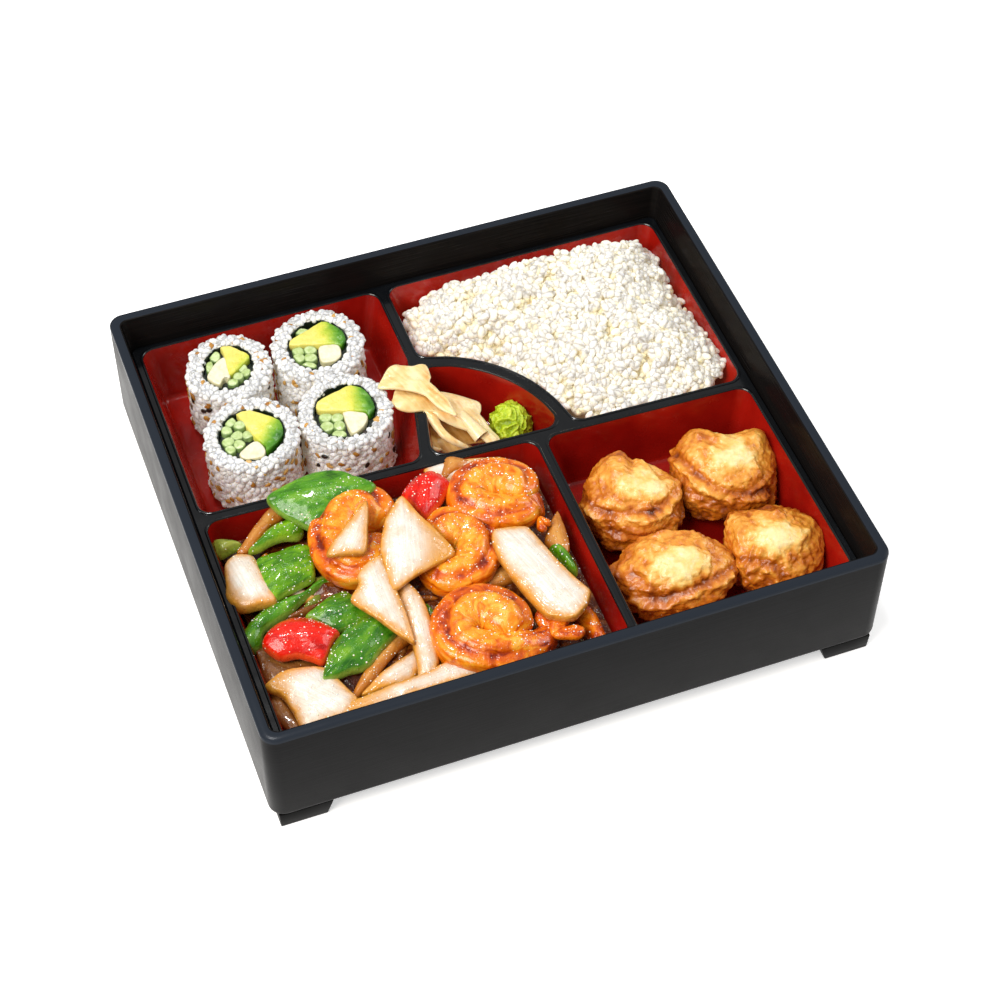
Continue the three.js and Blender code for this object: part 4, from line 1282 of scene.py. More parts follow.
# ------------------------------------------------------------------ shrimp
@dataclass
class Shrimp:
    """A curled, peeled shrimp on its side, cut open along its back.

    Its path is the middle of its body seen from the front, right and away of its node's middle,
    from its head to its tail. The tips are the far ends of its tail's blades.
    """

    name: str
    path: Sequence[Pair]
    wide: float = 10.4
    taper: float = 0.22
    tighten: float = 0.88
    heights: tuple[float, ...] = (0.0, 0.0)
    tips: Sequence[Pair] = ()
    tail_from: float = 0.86
    clockwise: bool = False
    columns: int = 64
    rows: int = 190

    def seed(self) -> float:
        """A number of its own for its unevenness."""
        return int(self.name[-1]) * 13.7

    def prepare(self) -> None:
        """Lays out the path evenly, and its heights."""
        middle = np.mean(self.path, axis=0)
        self.track = curve_through((np.array(self.path) - middle) * self.tighten + middle, 0.4, closed=False)
        self.length = 0.4 * len(self.track)
        shares = np.linspace(0, 1, len(self.track))
        self.levels = np.interp(shares, np.linspace(0, 1, len(self.heights)), self.heights)

    def middle(self, t: float) -> Vector:
        """The middle of the body at a share of the way from head to tail."""
        place = min(max(t, 0.0), 1.0) * (len(self.track) - 1)
        marks = np.arange(len(self.track))
        x = float(np.interp(place, marks, self.track[:, 0]))
        level = float(np.interp(place, marks, self.levels))
        y = float(np.interp(place, marks, self.track[:, 1])) - level / math.tan(VIEW_RISE)
        return Vector((x, y, level))

    def girth(self, t: float) -> float:
        """The body's half width."""
        head = min(t * self.length / (0.85 * self.wide), 1.0)
        tail = min((1 - t) * self.length / 2.6, 1.0)
        closing = math.sqrt(max(0.0, 1 - (1 - head) ** 2)) * math.sqrt(max(0.0, 1 - (1 - tail) ** 2))
        slim = 1 - self.taper * t**2 - (0.34 if self.tips else 0.2) * smooth(self.tail_from - 0.1, 1.0, t)
        return self.wide * slim * closing

    def local(self, share: float, t: float) -> tuple[Vector, float]:
        """A point of the skin before it's placed, and how deep its colour is."""
        ahead = (self.middle(t + 0.012) - self.middle(t - 0.012)).normalized()
        outward = ahead.cross(Vector((0, 0, 1))).normalized() * (-1 if self.clockwise else 1)
        angle = 2 * math.pi * share
        out, up = math.cos(angle), math.sin(angle)
        girth = self.girth(t)
        cut = smooth(0.03, 0.12, t) * (1 - smooth(0.72, 0.9, t))
        seam = 0.98 + 0.12 * math.sin(7 * t + self.seed())
        slit = cut * math.exp(-(((angle - seam) / 0.24) ** 2))
        lips = cut * sum(math.exp(-(((angle - seam - side) / 0.24) ** 2)) for side in (-0.52, 0.52))
        ring = (t * 7.3 + 0.04 * math.sin(3 * angle)) % 1.0
        crease = math.exp(-((min(ring, 1 - ring) / 0.055) ** 2)) * smooth(0.1, 0.2, t) * max(0.0, 0.35 + 0.65 * out)
        seed = Vector((self.seed(), 0, 0))
        lumps = rough(Vector((t * self.length / 9, out * 1.3, up * 1.3)) + seed, 1.3, 3)
        size = girth * (1 - 0.17 * slit + 0.05 * lips - 0.05 * crease + 0.07 * lumps)
        wide = 1.0 if out > 0 else 0.94
        point = self.middle(t) + outward * out * size * wide + Vector((0, 0, up * size * 0.8))
        patch = 0.5 + 0.5 * rough(Vector((t * self.length / 7, angle, self.seed())), 1.0, 2)
        # The tone holds painted shade: darker in the creases between segments and on the underside. The cut's brown is
        # partly its own colour and partly painted shade in its groove; the back and the tail are the shrimp's own
        # colour.
        tone = 0.3 + 0.55 * slit * patch + 0.1 * crease + 0.14 * max(0.0, out) * (1 - 0.5 * up) + 0.12 * max(0.0, -up)
        tone += 0.35 * smooth(self.tail_from - 0.06, self.tail_from + 0.06, t) * (1.0 if self.tips else 0.4)
        tone += 0.22 * math.exp(-(((angle - seam) / 0.6) ** 2)) * cut * patch
        return point, tone

    def build(self) -> None:
        """Builds the body and the tail's blades."""
        self.prepare()
        bm = sheet(self.columns, self.rows, lambda share, along: self.local(share, along)[0])
        around, along = bm.verts.layers.float["around"], bm.verts.layers.float["along"]
        grain = bm.verts.layers.float_vector.new("grain")
        tone = bm.verts.layers.float.new("tone")
        for vert in bm.verts:
            angle = 2 * math.pi * vert[around]
            own = Vector((vert[along] * self.length, 9 * math.cos(angle), 9 * math.sin(angle)))
            vert[grain] = own + Vector((self.seed() * 9, 0, 0))
            vert[tone] = self.local(vert[around], vert[along])[1]
        bmesh.ops.rotate(bm, matrix=Matrix.Rotation(math.radians(VIEW_YAW), 3, "Z"), verts=bm.verts)
        bmesh.ops.translate(bm, vec=centre_of(self.name), verts=bm.verts)
        self.dress(bm)
        self.fan()

    def fan(self) -> None:
        """The blades of the tail, from the end of the path to each tip."""
        start = np.array(self.path[-1]) - 0.4 * (np.array(self.path[-1]) - np.array(self.path[-2]))
        for index, tip in enumerate(self.tips):
            reach = np.array(tip) - start
            side = np.array((-reach[1], reach[0])) * 0.3
            shares = ((0.0, 0.35), (0.4, 0.85), (0.75, 1.0), (0.97, 0.45), (1.0, 0.0))
            edge = [start + reach * t + side * w for t, w in shares]
            edge += [start + reach * t - side * w for t, w in reversed(shares[:-1])]
            heading = math.degrees(math.atan2(reach[1], reach[0]))
            Slice(
                f"{self.name}_blade_{index}",
                TAIL,
                [tuple(p) for p in edge],
                self.name,
                thick=2.4,
                rise=self.heights[-1] + 3.5 + 0.8 * index,
                curl=0.8,
                fibre=heading,
                extra=True,
            ).build()

    def dress(self, bm: bmesh.types.BMesh) -> None:
        """Makes the piece with its finish."""
        piece(bm, f"{self.name}_body", [SHRIMP], [self.name], sharp=80.0)


# ------------------------------------------------------------------ sushi rolls
@dataclass
class Roll:
    """An inside-out roll: rice round seaweed round fillings, standing on a cut face.

    The fillings' outlines are seen from the front, right and away of the seaweed's middle. Each
    cucumber is the middle of a stick and its half width and half depth.
    """

    name: str
    ring: Pair
    outer: float
    avocado: Sequence[Pair]
    green: float
    white: Sequence[Pair]
    cucumbers: Sequence[tuple[float, float, float, float]]
    others: Sequence[str]
    shift: Pair = (0.0, 0.0)
    height: float = 29.0
    lean: float = 4.0
    oblique: float = 0.12
    squash: float = 0.96

    def build(self) -> None:
        """Builds every layer of the roll."""
        self.number = int(self.name[-1])
        view = Matrix.Rotation(math.radians(VIEW_YAW), 4, "Z")
        middle = centre_of(f"{self.name}_nori") + view @ Vector((*self.shift, 0))
        self.frame = (
            Matrix.Translation(middle)
            @ Matrix.Rotation(-math.radians(self.lean), 4, "X")
            @ view
            @ Matrix.Translation((0, 0, -self.height / 2))
        )
        back = view.inverted()
        self.pressed = [back @ (centre_of(f"{other}_nori") - middle) for other in self.others]
        self.core()
        self.seaweed()
        self.fillings()
        self.grains()
        self.seeds()

    def reach(self, angle: float, radius: float) -> float:
        """The rice's radius at an angle: it is pressed flat where it meets its neighbours."""
        for other in self.pressed:
            facing = math.cos(angle - math.atan2(other.y, other.x))
            if facing > 0.1:
                radius = min(radius, (math.hypot(other.x, other.y) / 2 - 0.6) / facing)
        return radius + 0.35 * noise.noise(Vector((math.cos(angle) * 2, math.sin(angle) * 2, self.number * 5)))

    def hole(self, angle: float) -> float:
        """The seaweed's outer radius at an angle."""
        wide, deep = self.ring
        deep *= self.squash
        uneven = 1 + 0.03 * noise.noise(Vector((math.cos(angle) * 1.5, math.sin(angle) * 1.5, self.number)))
        return uneven * wide * deep / math.hypot(deep * math.cos(angle), wide * math.sin(angle))

    def cut(self, point: Vector) -> Vector:
        """Moves a point with the top face, which is cut at a slight slant."""
        return point + Vector((0, 0, self.oblique * point.y * max(point.z, 0.0) / self.height))

    def put(self, bm: bmesh.types.BMesh, part: str, finish: Finish, node: str = "", sharp: float = 35.0) -> None:
        """Moves a part into place and makes it a piece."""
        for vert in bm.verts:
            vert.co = self.cut(vert.co)
        bmesh.ops.transform(bm, matrix=self.frame, verts=bm.verts)
        piece(bm, f"{self.name}_{part}", [finish], [f"{self.name}_{node}"] if node else [], sharp=sharp)

    def core(self) -> None:
        """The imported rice, its skin as lumpy as the grains on it."""
        top, edge = self.height - 0.4, 2.4
        wall = [(1.0, z) for z in np.linspace(edge, top - edge, 26)]
        bend = [(1.0 - 0.11 * (1 - math.cos(a)), top - edge + edge * math.sin(a)) for a in np.linspace(0.3, 1.57, 5)]
        profile = [(0.0, 0.3), (0.5, 0.3), (0.9, 0.3), *wall, *bend]
        profile += [(share, top) for share in np.linspace(0.84, 0.0, 11)]

        def place(share: float, along: float) -> Vector:
            out, z = profile[round(along * (len(profile) - 1))]
            angle = 2 * math.pi * share
            inner = self.hole(angle) + 0.3
            radius = inner + (self.reach(angle, self.outer) - 1.0 - inner) * out
            point = Vector((radius * math.cos(angle), radius * math.sin(angle), z))
            lump = 0.55 - noise.voronoi(point / 2.9 + Vector((self.number * 9, 0, 0)))[0][0]
            if out <= 0 or z < 1:
                return point
            raised = 1.2 * lump * min(1.0, 4 * out)
            radius += raised * (out > 0.95)
            return Vector((radius * math.cos(angle), radius * math.sin(angle), z + raised * (out <= 0.95)))

        self.put(sheet(150, len(profile) - 1, place), "rice_core", ROLL_PASTE, "rice", 80)

    def seaweed(self) -> None:
        """The thin seaweed, its top edge frayed, and a dark sheet under the fillings' tops that paints the shade
        between them.
        """
        profile = [(-0.55, 0.2), (0.0, 0.2), (0.0, self.height), (-0.55, self.height), (-0.55, 0.2)]

        def place(share: float, along: float) -> Vector:
            inset, z = profile[round(along * 4)]
            angle = 2 * math.pi * share
            radius = self.hole(angle) + inset
            jag = 0.9 * noise.noise(Vector((math.cos(angle) * 6, math.sin(angle) * 6, self.number))) if z > 5 else 0
            return Vector((radius * math.cos(angle), radius * math.sin(angle), z + jag))

        self.put(sheet(110, 4, place), "seaweed", NORI, "nori")
        # Painted shade: a dark sheet of seaweed inside the ring, under the fillings' tops, shows as shade in the gaps
        # between them.
        angles = np.linspace(0, 2 * math.pi, 48, endpoint=False)
        edge = np.array([((self.hole(a) - 0.45) * math.cos(a), (self.hole(a) - 0.45) * math.sin(a)) for a in angles])
        floor = wafer(edge, 1.0, 2.2)
        bmesh.ops.translate(floor, vec=(0, 0, self.height - 3.2), verts=floor.verts)
        self.put(floor, "seaweed_inside", NORI)

    def stick(self, outline: Sequence[Pair], top: float) -> bmesh.types.BMesh:
        """A filling cut to an outline, from the roll's foot to a little over its cut face."""
        edge = curve_through(outline, 0.6) * np.array((1.0, self.squash))
        radii = np.linalg.norm(edge, axis=1)
        most = np.array([self.hole(math.atan2(y, x)) - 0.9 for x, y in edge])
        edge *= np.minimum(1.0, most / radii)[:, None]
        tall = self.height + top - 0.4
        bm = wafer(edge, tall, 0.7, 0.6)
        side = bm.verts.layers.float["side"]
        grain = bm.verts.layers.float_vector.new("grain")
        for vert in bm.verts:
            vert.co.z = 0.0
            if vert[side]:
                vert.co.z = math.copysign(tall / 2 - 1 + abs(vert[side]), vert[side])
            vert.co.z += 0.4 + tall / 2
            vert[grain] = vert.co + Vector((self.number * 31, 0, 0))
            if vert.co.z > self.height * 0.7:
                vert.co.z += 0.45 * rough(vert.co + Vector((self.number * 9, 0, 0)), 4.0, 3)
        return bm

    def fillings(self) -> None:
        """A slice of avocado, a white stick and a bundle of cucumber."""
        slice_ = self.stick(self.avocado, 0.9)
        tone = slice_.verts.layers.float.new("tone")
        skin_way = Vector((math.cos(math.radians(self.green)), math.sin(math.radians(self.green)), 0))
        for vert in slice_.verts:
            vert[tone] = smooth(-3.0, 14.0, Vector((vert.co.x, vert.co.y, 0)).dot(skin_way))
        self.put(slice_, "avocado_slice", AVOCADO, "avocado", 60)
        self.put(self.stick(self.white, 0.5), "white_filling", WHITE_STICK, "white_stick", 60)
        bundle = bmesh.new()
        chance = np.random.default_rng(self.number)
        for x, y, wide, deep in self.cucumbers:
            turn = chance.uniform(0, 6.3)
            angles = [turn + 2 * math.pi * k / 6 for k in range(6)]
            sizes = chance.uniform(0.9, 1.12, 6)
            oval = [(x + 1.3 * wide * s * math.cos(a), y + 1.3 * deep * s * math.sin(a)) for a, s in zip(angles, sizes)]
            join(bundle, self.stick(oval, float(chance.uniform(-0.4, 0.8))))
        self.put(bundle, "cucumber_sticks", CUCUMBER, "cucumber", 60)

    def grains(self) -> None:
        """The rice grains over the ring's top, bottom and side."""
        chance = np.random.default_rng(100 + self.number)
        places: list[Matrix] = []
        for layer in range(12):
            z = 1.2 + layer * (self.height - 2.2) / 11
            count = round(self.outer * 2.0)
            for k in range(count):
                angle = 2 * math.pi * (k + 0.5 * (layer % 2) + chance.uniform(-0.35, 0.35)) / count
                normal = Vector((math.cos(angle), math.sin(angle), chance.uniform(-0.2, 0.2))).normalized()
                radius = self.reach(angle, self.outer) - 1.0 + chance.uniform(-0.5, 0.35)
                radius -= 0.22 * max(0.0, z - self.height + 3.5) ** 1.5
                point = Vector((normal.x * radius, normal.y * radius, z + chance.uniform(-0.9, 0.9)))
                places.append(self.grain(point, normal, chance))
        for face in (1, -1):
            for row in range(5):
                count = round(2 * math.pi * (self.ring[0] + 1.6 + row * (self.outer - self.ring[0] - 2.4) / 4) / 3.1)
                for k in range(count):
                    angle = 2 * math.pi * (k + chance.uniform(-0.4, 0.4)) / count
                    inner, outer = self.hole(angle) + 1.5, self.reach(angle, self.outer) - 1.1
                    radius = inner + (outer - inner) * (row + chance.uniform(-0.25, 0.25)) / 4
                    z = self.height - 0.3 - 0.07 * max(0.0, radius - outer + 3) ** 2 + chance.uniform(-0.4, 0.6)
                    point = Vector((radius * math.cos(angle), radius * math.sin(angle), z if face > 0 else 1.1))
                    normal = Vector((chance.uniform(-0.35, 0.35), chance.uniform(-0.35, 0.35), face)).normalized()
                    places.append(self.grain(point, normal, chance))
        scatter(f"{self.name}_rice_grains", grain_shape(5.2, 3.2, 0.3), places, ROLL_RICE, self.number)

    def grain(self, point: Vector, normal: Vector, chance: np.random.Generator) -> Matrix:
        """One grain's place in the box."""
        turn = turned_to(normal, chance.uniform(0, 2 * math.pi)) @ Matrix.Rotation(chance.uniform(-0.35, 0.35), 3, "Y")
        return self.frame @ at(self.cut(point), turn, chance.uniform(0.85, 1.12))

    def seeds(self) -> None:
        """Sesame seeds pressed into the side and a few on top."""
        chance = np.random.default_rng(200 + self.number)
        places = []
        for k in range(96):
            angle = chance.uniform(0, 2 * math.pi)
            normal = Vector((math.cos(angle), math.sin(angle), 0))
            z = self.height * (1 - chance.uniform(0.06, 1.0) ** 0.9)
            radius = self.reach(angle, self.outer) + 0.25
            if k % 9 == 0:
                radius -= chance.uniform(2.0, 5.5)
                z, normal = self.height + 0.75, Vector((0, 0, 1))
            point = Vector((math.cos(angle) * radius, math.sin(angle) * radius, z))
            turn = turned_to(normal, chance.uniform(0, 6.3))
            places.append(self.frame @ at(self.cut(point), turn, chance.uniform(0.85, 1.15)))
        shape = bmesh.new()
        bmesh.ops.create_icosphere(shape, subdivisions=2, radius=1.0)
        for vert in shape.verts:
            x, y, z = vert.co
            vert.co = Vector((x * 1.75, y * 1.05 * (1 - 0.35 * x), z * 0.55))
        scatter(f"{self.name}_sesame", shape, places, SESAME, self.number + 7)


# ------------------------------------------------------------------ plain rice
@dataclass
class RiceMound:
    """A loose mound of steamed rice that follows its frame node's surface."""

    step: float = 2.35
    length: float = 6.1
    width: float = 3.3

    def build(self) -> None:
        """Builds the core and two layers of grains."""
        self.skin = surface_of("rice")
        self.low, self.high = box_of("rice")
        self.core()
        self.layer("rice_grains_lower", -0.9, 11)
        self.layer("rice_grains_upper", 0.6, 12)

    def core(self) -> None:
        """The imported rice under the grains."""
        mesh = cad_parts["rice"].data.copy()
        bm = bmesh.new()
        bm.from_mesh(mesh)
        bpy.data.meshes.remove(mesh)
        bmesh.ops.scale(bm, vec=(1 / MM,) * 3, verts=bm.verts)
        bmesh.ops.remove_doubles(bm, verts=bm.verts, dist=1e-3)
        bmesh.ops.subdivide_edges(bm, edges=bm.edges[:], cuts=6, use_grid_fill=True)
        bmesh.ops.recalc_face_normals(bm, faces=bm.faces)
        bm.normal_update()
        moves = []
        for vert in bm.verts:
            lump = 0.5 - noise.voronoi(vert.co / 3.1)[0][0]
            moves.append(vert.normal * (-1.2 + 1.3 * lump + 0.75 * self.clump(vert.co)))
        for vert, move in zip(bm.verts, moves):
            vert.co += move
        piece(bm, "rice_core", [PASTE], ["rice"], sharp=80)

    def clump(self, point: Vector) -> float:
        """How far the mound's surface stands in or out there."""
        coarse = rough(point + Vector((40, 0, 0)), 12.0, 2)
        fine = rough(point, 5.5, 2)
        return 3.1 * coarse + 2.3 * fine

    def layer(self, name: str, lift: float, seed: int) -> None:
        """One layer of grains over the surface.

        Args:
            name: The piece's name.
            lift: How far the layer lies over the solid's surface.
            seed: Seeds the places.
        """
        chance = np.random.default_rng(seed)
        places = []
        for x in np.arange(self.low.x, self.high.x, self.step):
            for y in np.arange(self.low.y, self.high.y, self.step):
                start = Vector((x + chance.uniform(-1.2, 1.2), y + chance.uniform(-1.2, 1.2), self.high.z + 10))
                hit, normal, _, _ = self.skin.ray_cast(start, Vector((0, 0, -1)))
                if hit is None:
                    continue
                steep = 1 / max(normal.z, 0.22)
                for _ in range(int(steep + chance.random())):
                    rise = lift + 0.75 * self.clump(hit) + chance.uniform(-0.4, 0.4)
                    if lift > 0 and self.clump(hit) < -1.6:
                        continue
                    point = hit + normal * rise + Vector((chance.uniform(-0.9, 0.9), chance.uniform(-0.9, 0.9), 0))
                    if steep > 1.5:
                        point.z += chance.uniform(-1.2, 1.2) * steep
                    tilt = Matrix.Rotation(chance.normal(0, 0.45), 3, "Y")
                    turn = turned_to(normal, chance.uniform(0, 6.3)) @ tilt
                    places.append(at(point, turn, chance.uniform(0.85, 1.12)))
        # The lower layer takes the copy of the rice painted darker as shade.
        finish = RICE if lift > 0 else DEEP_RICE
        scatter(name, grain_shape(self.length, self.width, 0.3), places, finish, seed)
        LOG.info("%s: %d grains", name, len(places))


# ------------------------------------------------------------------ dumplings
@dataclass
class Dumpling:
    """A fried parcel: blistered, with a pale pillow on top and a rolled lip round its front.

    Its outline, lip and pillow are seen from the front, right and up from its middle. The lip is
    the line of its rolled edge. The pillow is its middle and its half width and half height.
    """

    name: str
    outline: Sequence[Pair]
    lip: Sequence[Pair]
    pillow: tuple[float, float, float, float]
    folds: int = 11

    def build(self) -> None:
        """Builds and dresses the parcel."""
        low, high = box_of(self.name)
        middle, half = (low + high) / 2, (high - low) / 2
        number = int(self.name[-1])
        chance = np.random.default_rng(number)
        creases = [(Vector(chance.normal(0, 1, 3)).normalized(), chance.uniform(0.4, 1.0)) for _ in range(self.folds)]
        edge = curve_through(self.outline, 0.8)
        angles = np.arctan2(edge[:, 1], edge[:, 0])
        order = np.argsort(angles)
        angles, radii = angles[order], np.linalg.norm(edge, axis=1)[order]
        lip = curve_through(self.lip, 0.8, closed=False)
        toward = Vector((0, -math.cos(VIEW_RISE), math.sin(VIEW_RISE)))
        upward = Vector((0, math.sin(VIEW_RISE), math.cos(VIEW_RISE)))
        offset = Vector((number * 3.1, 0, 0))
        bm = bmesh.new()
        bmesh.ops.create_icosphere(bm, subdivisions=7, radius=1.0)
        tone = bm.verts.layers.float.new("tone")
        for vert in bm.verts:
            d = vert.co.copy()
            solid = Vector((math.copysign(abs(d.x) ** 0.92, d.x) * half.x, math.copysign(abs(d.y) ** 0.92, d.y) * half.y, d.z * half.z))
            right, up = solid.x, solid.dot(upward)
            reach = max(math.hypot(right, up), 0.1)
            wanted = float(np.interp(math.atan2(up, right), angles, radii, period=2 * math.pi))
            model = self.model_reach(math.atan2(up, right), half)
            facing = smooth(0.35, 1.0, reach / model)
            stretch = 1 + (wanted / model - 1) * facing
            base = Vector((solid.x, 0, 0)) * stretch + upward * up * stretch + toward * solid.dot(toward)
            seen = np.array((base.x, base.dot(upward)))
            near = np.linalg.norm(lip - seen, axis=1)
            above = seen[1] - float(lip[near.argmin(), 1])
            close = near.min()
            front = smooth(-0.1, 0.3, d.dot(toward))
            if front == 0.0:
                close = abs(d.z - 0.1 - 0.15 * math.sin(5 * math.atan2(d.y, d.x))) * 20
                above = d.z * 20
                front = 0.7
            roll = math.exp(-((close / 1.5) ** 2)) * front
            tuck = math.exp(-(((close - 3.2) / 1.7) ** 2)) * front * (above > 0)
            ripple = rough(base + offset * 9, 5.0, 2)
            crinkle = 0.0
            for axis, strength in creases:
                crinkle += strength * math.exp(-((d.dot(axis) / 0.07) ** 2)) * smooth(-0.1, 0.5, noise.noise(d * 2.2 + axis * 5))
            px, py, pw, ph = self.pillow
            spread = math.hypot((seen[0] - px) / pw, (seen[1] - py) / ph) + 0.3 * ripple
            cushion = 1 - smooth(0.25, 1.2, spread) if d.z > 0 else 0.0
            crumple = rough(d + offset, 0.5, 4)
            blister = max(0.0, 0.42 - noise.voronoi(base / 3.3 + offset)[0][0]) * (1 - 0.5 * cushion)
            pleat = math.sin(9 * math.atan2(d.y, d.x) + 4 * ripple) * smooth(0.25, -0.5, d.z) * (1 - d.z * d.z)
            out = 1.3 * roll * (1 + 1.2 * ripple) - 0.8 * tuck * (1 + 0.6 * ripple) + 1.0 * cushion + 1.7 * min(crinkle, 1.5) * (1 - cushion)
            out += 1.7 * crumple * (1 - 0.6 * cushion) + 1.5 * blister + 0.8 * pleat + 0.12 * rough(d + offset, 0.14, 2)
            place = base + base.normalized() * out
            place.z = max(place.z, -half.z * 1.0)
            vert.co = place
            # Painted light and shade over the browning: the tuck, the crumple's hollows and the underside darker, the
            # lip, the crumple's bumps and the top lighter; the blisters and crinkles browner, and the pillow paler.
            browned = 0.62 - 0.4 * cushion + 0.2 * tuck - 0.12 * roll + 0.34 * smooth(0.15, -0.75, d.z)
            browned += 0.2 * max(0.0, -crumple) - 0.14 * max(0.0, crumple) - 0.16 * smooth(0.3, 0.9, d.z)
            browned += 0.12 * min(crinkle, 1.0) * (1 - cushion) + 0.3 * blister * (1 - cushion)
            vert[tone] = browned
        bmesh.ops.rotate(bm, matrix=Matrix.Rotation(math.radians(VIEW_YAW), 3, "Z"), verts=bm.verts)
        bmesh.ops.translate(bm, vec=middle, verts=bm.verts)
        bmesh.ops.recalc_face_normals(bm, faces=bm.faces)
        piece(bm, f"{self.name}_crust", [DOUGH], [self.name], sharp=180.0)

    def model_reach(self, angle: float, half: Vector) -> float:
        """How far the plain rounded parcel reaches, seen from the front, at an angle."""
        tall = math.hypot(half.y * math.sin(VIEW_RISE), half.z * math.cos(VIEW_RISE))
        return half.x * tall / math.hypot(tall * math.cos(angle), half.x * math.sin(angle))


# ------------------------------------------------------------------ ginger and wasabi
@dataclass
class GingerHeap:
    """Loose folded slices that hang over the divider and run down into their cup."""

    shift: tuple[float, float, float] = (-0.3, -1.64, -0.44)

    def slices(self) -> list[Slice]:
        """The slices, the lowest first."""
        # Painted shade: the deep and mid finishes are shaded and half-shaded copies of the pale ginger, for the lowest
        # slices and the left one that hangs in shade.
        deep = PickledGinger("ginger_shaded", "ginger", "a8681c", "d29c4c", "e9bf78")
        mid = PickledGinger("ginger_golden", "ginger", "cf9440", "e6bc74", "f3d79c")
        pale = GINGER
        shapes = [
            (deep, [(-9, 6), (-8.5, -6), (-5, -15), (3, -15), (15, -12), (22, -9), (12, 2), (2, 8)], -1.5, (-0.3, 0.2), 1.0),
            (mid, [(-3.1, -9.8), (1.8, -15.8), (6.2, -17.6), (16.5, -13.4), (10.6, -10)], -0.5, (-0.3, 0.25), 1.2),
            (pale, [(-9.9, 6), (-9.4, -4.1), (-7.4, -11.4), (-4.4, -16), (-0.8, -17.4), (2, -15.6), (-2.4, -13.2),
                    (-4.6, -9), (-5.6, -3), (-5, 4)], 3.0, (-0.15, 0.42), 1.3),
            (mid, [(-17.4, 19.3), (-20.3, 13.7), (-20.6, 10.6), (-17.4, 7.2), (-11.9, 5.8), (-5.9, 6.6), (0.7, 6.6),
                   (-3, 15.1)], 8.3, (-0.1, 0.12), 1.2),
            (pale, [(-0.4, 18.6), (-6.5, 17), (-3, 10.5), (7.3, 3.6), (16.1, -6), (23, -12.4), (26.8, -11.4),
                    (26.8, -7.5), (21.5, 0.2), (18.8, 5.1), (19.3, 8.9), (18, 12.6), (10.6, 15.6)], 7.6, (-0.42, 0.05), 1.1),
            (pale, [(-6.6, 7.6), (-4.6, 2), (-0.6, -4.4), (2.2, -8.8), (8, -13), (14.6, -14.2), (14.2, -12),
                    (8.6, -10.2), (4.6, -6.2), (0.8, 0), (-2.6, 7.6)], 6.2, (-0.4, 0.15), 1.2),
            (pale, [(-3.6, 8.2), (2, 2.4), (9.6, -2.6), (18, -7), (25.4, -11), (26.8, -9), (19.6, -3.6),
                    (11.2, 1.4), (4.6, 5.8), (-0.4, 10.4)], 8.6, (-0.44, 0.1), 1.3),
            (pale, [(-26.9, 20.6), (-24.5, 18.9), (-16.8, 18.6), (-7, 16.2), (-3.1, 11.5), (2.4, 6.6), (8.2, 3.2),
                    (5.4, 11), (-0.2, 19.2), (-4, 23), (-3.5, 26.5), (-5, 32), (-7.5, 33.9), (-12.4, 32.4), (-19.6, 33.2),
                    (-22.5, 31), (-24.7, 26.5)], 12.2, (-0.1, 0.06), 1.2),
        ]
        return [
            Slice(f"ginger_slice_{i}", finish, outline, "ginger", thick, rise, slopes, curl=0.5, dome=0.9,
                  fibre=-44, ribs=0.16, waves=0.45, step=0.8, extra=i > 0, shift=self.shift)
            for i, (finish, outline, rise, slopes, thick) in enumerate(shapes)
        ]

    def build(self) -> None:
        """Builds the slices and a little rolled one."""
        for slice_ in self.slices():
            slice_.build()
        self.curl()

    def curl(self) -> None:
        """A thin slice rolled into a tube, its open end towards the front."""

        def place(share: float, along: float) -> Vector:
            angle = 2 * math.pi * share
            spiral = 3.5 - 0.35 * share + 0.25 * math.sin(2 * angle)
            out, length = ((spiral, 0.0), (spiral, -14.0), (spiral - 1.0, -14.0), (spiral - 1.0, 0.0), (spiral, 0.0))[round(along * 4)]
            return Vector((out * math.cos(angle) * (1.25 if length > -5 else 0.7), length, out * math.sin(angle)))

        bm = sheet(48, 4, place)
        grain = bm.verts.layers.float_vector.new("grain")
        for vert in bm.verts:
            vert[grain] = vert.co + Vector((70, 0, 0))
        turn = Matrix.Rotation(math.radians(VIEW_YAW - 132), 4, "Z") @ Matrix.Rotation(math.radians(-20), 4, "X")
        bmesh.ops.transform(bm, matrix=turn, verts=bm.verts)
        view = Matrix.Rotation(math.radians(VIEW_YAW), 3, "Z")
        bmesh.ops.translate(bm, vec=centre_of("ginger") + view @ Vector((19.8, -9.0, -1.0)), verts=bm.verts)
        piece(bm, "ginger_curl", [GINGER], sharp=60.0)


@dataclass
class WasabiBall:
    """A craggy ball of paste squeezed in ropes."""

    def build(self) -> None:
        """Builds and dresses the ball."""
        low, high = box_of("wasabi")
        middle, half = (low + high) / 2, (high - low) / 2
        bm = bmesh.new()
        bmesh.ops.create_icosphere(bm, subdivisions=6, radius=1.0)
        tone = bm.verts.layers.float.new("tone")
        for vert in bm.verts:
            d = vert.co.copy()
            bent = d + 0.25 * noise.noise_vector(d * 1.7)
            rope = 1 - abs(noise.noise(bent * 3.1))
            knot = 0.6 - noise.voronoi(bent * 2.3)[0][0]
            out = 0.92 + 0.14 * rope**3 + 0.16 * knot + 0.04 * rough(d, 0.22, 3)
            # Painted shade: the tone darkens the paste in the grooves between its ropes and lightens it on its knots.
            vert[tone] = 0.16 + 0.55 * (1 - rope**3) - 0.3 * knot
            vert.co = Vector((d.x * half.x, d.y * half.y, d.z * half.z)) * out
        bmesh.ops.translate(bm, vec=middle, verts=bm.verts)
        piece(bm, "wasabi_ball", [WASABI], ["wasabi"], sharp=180.0)


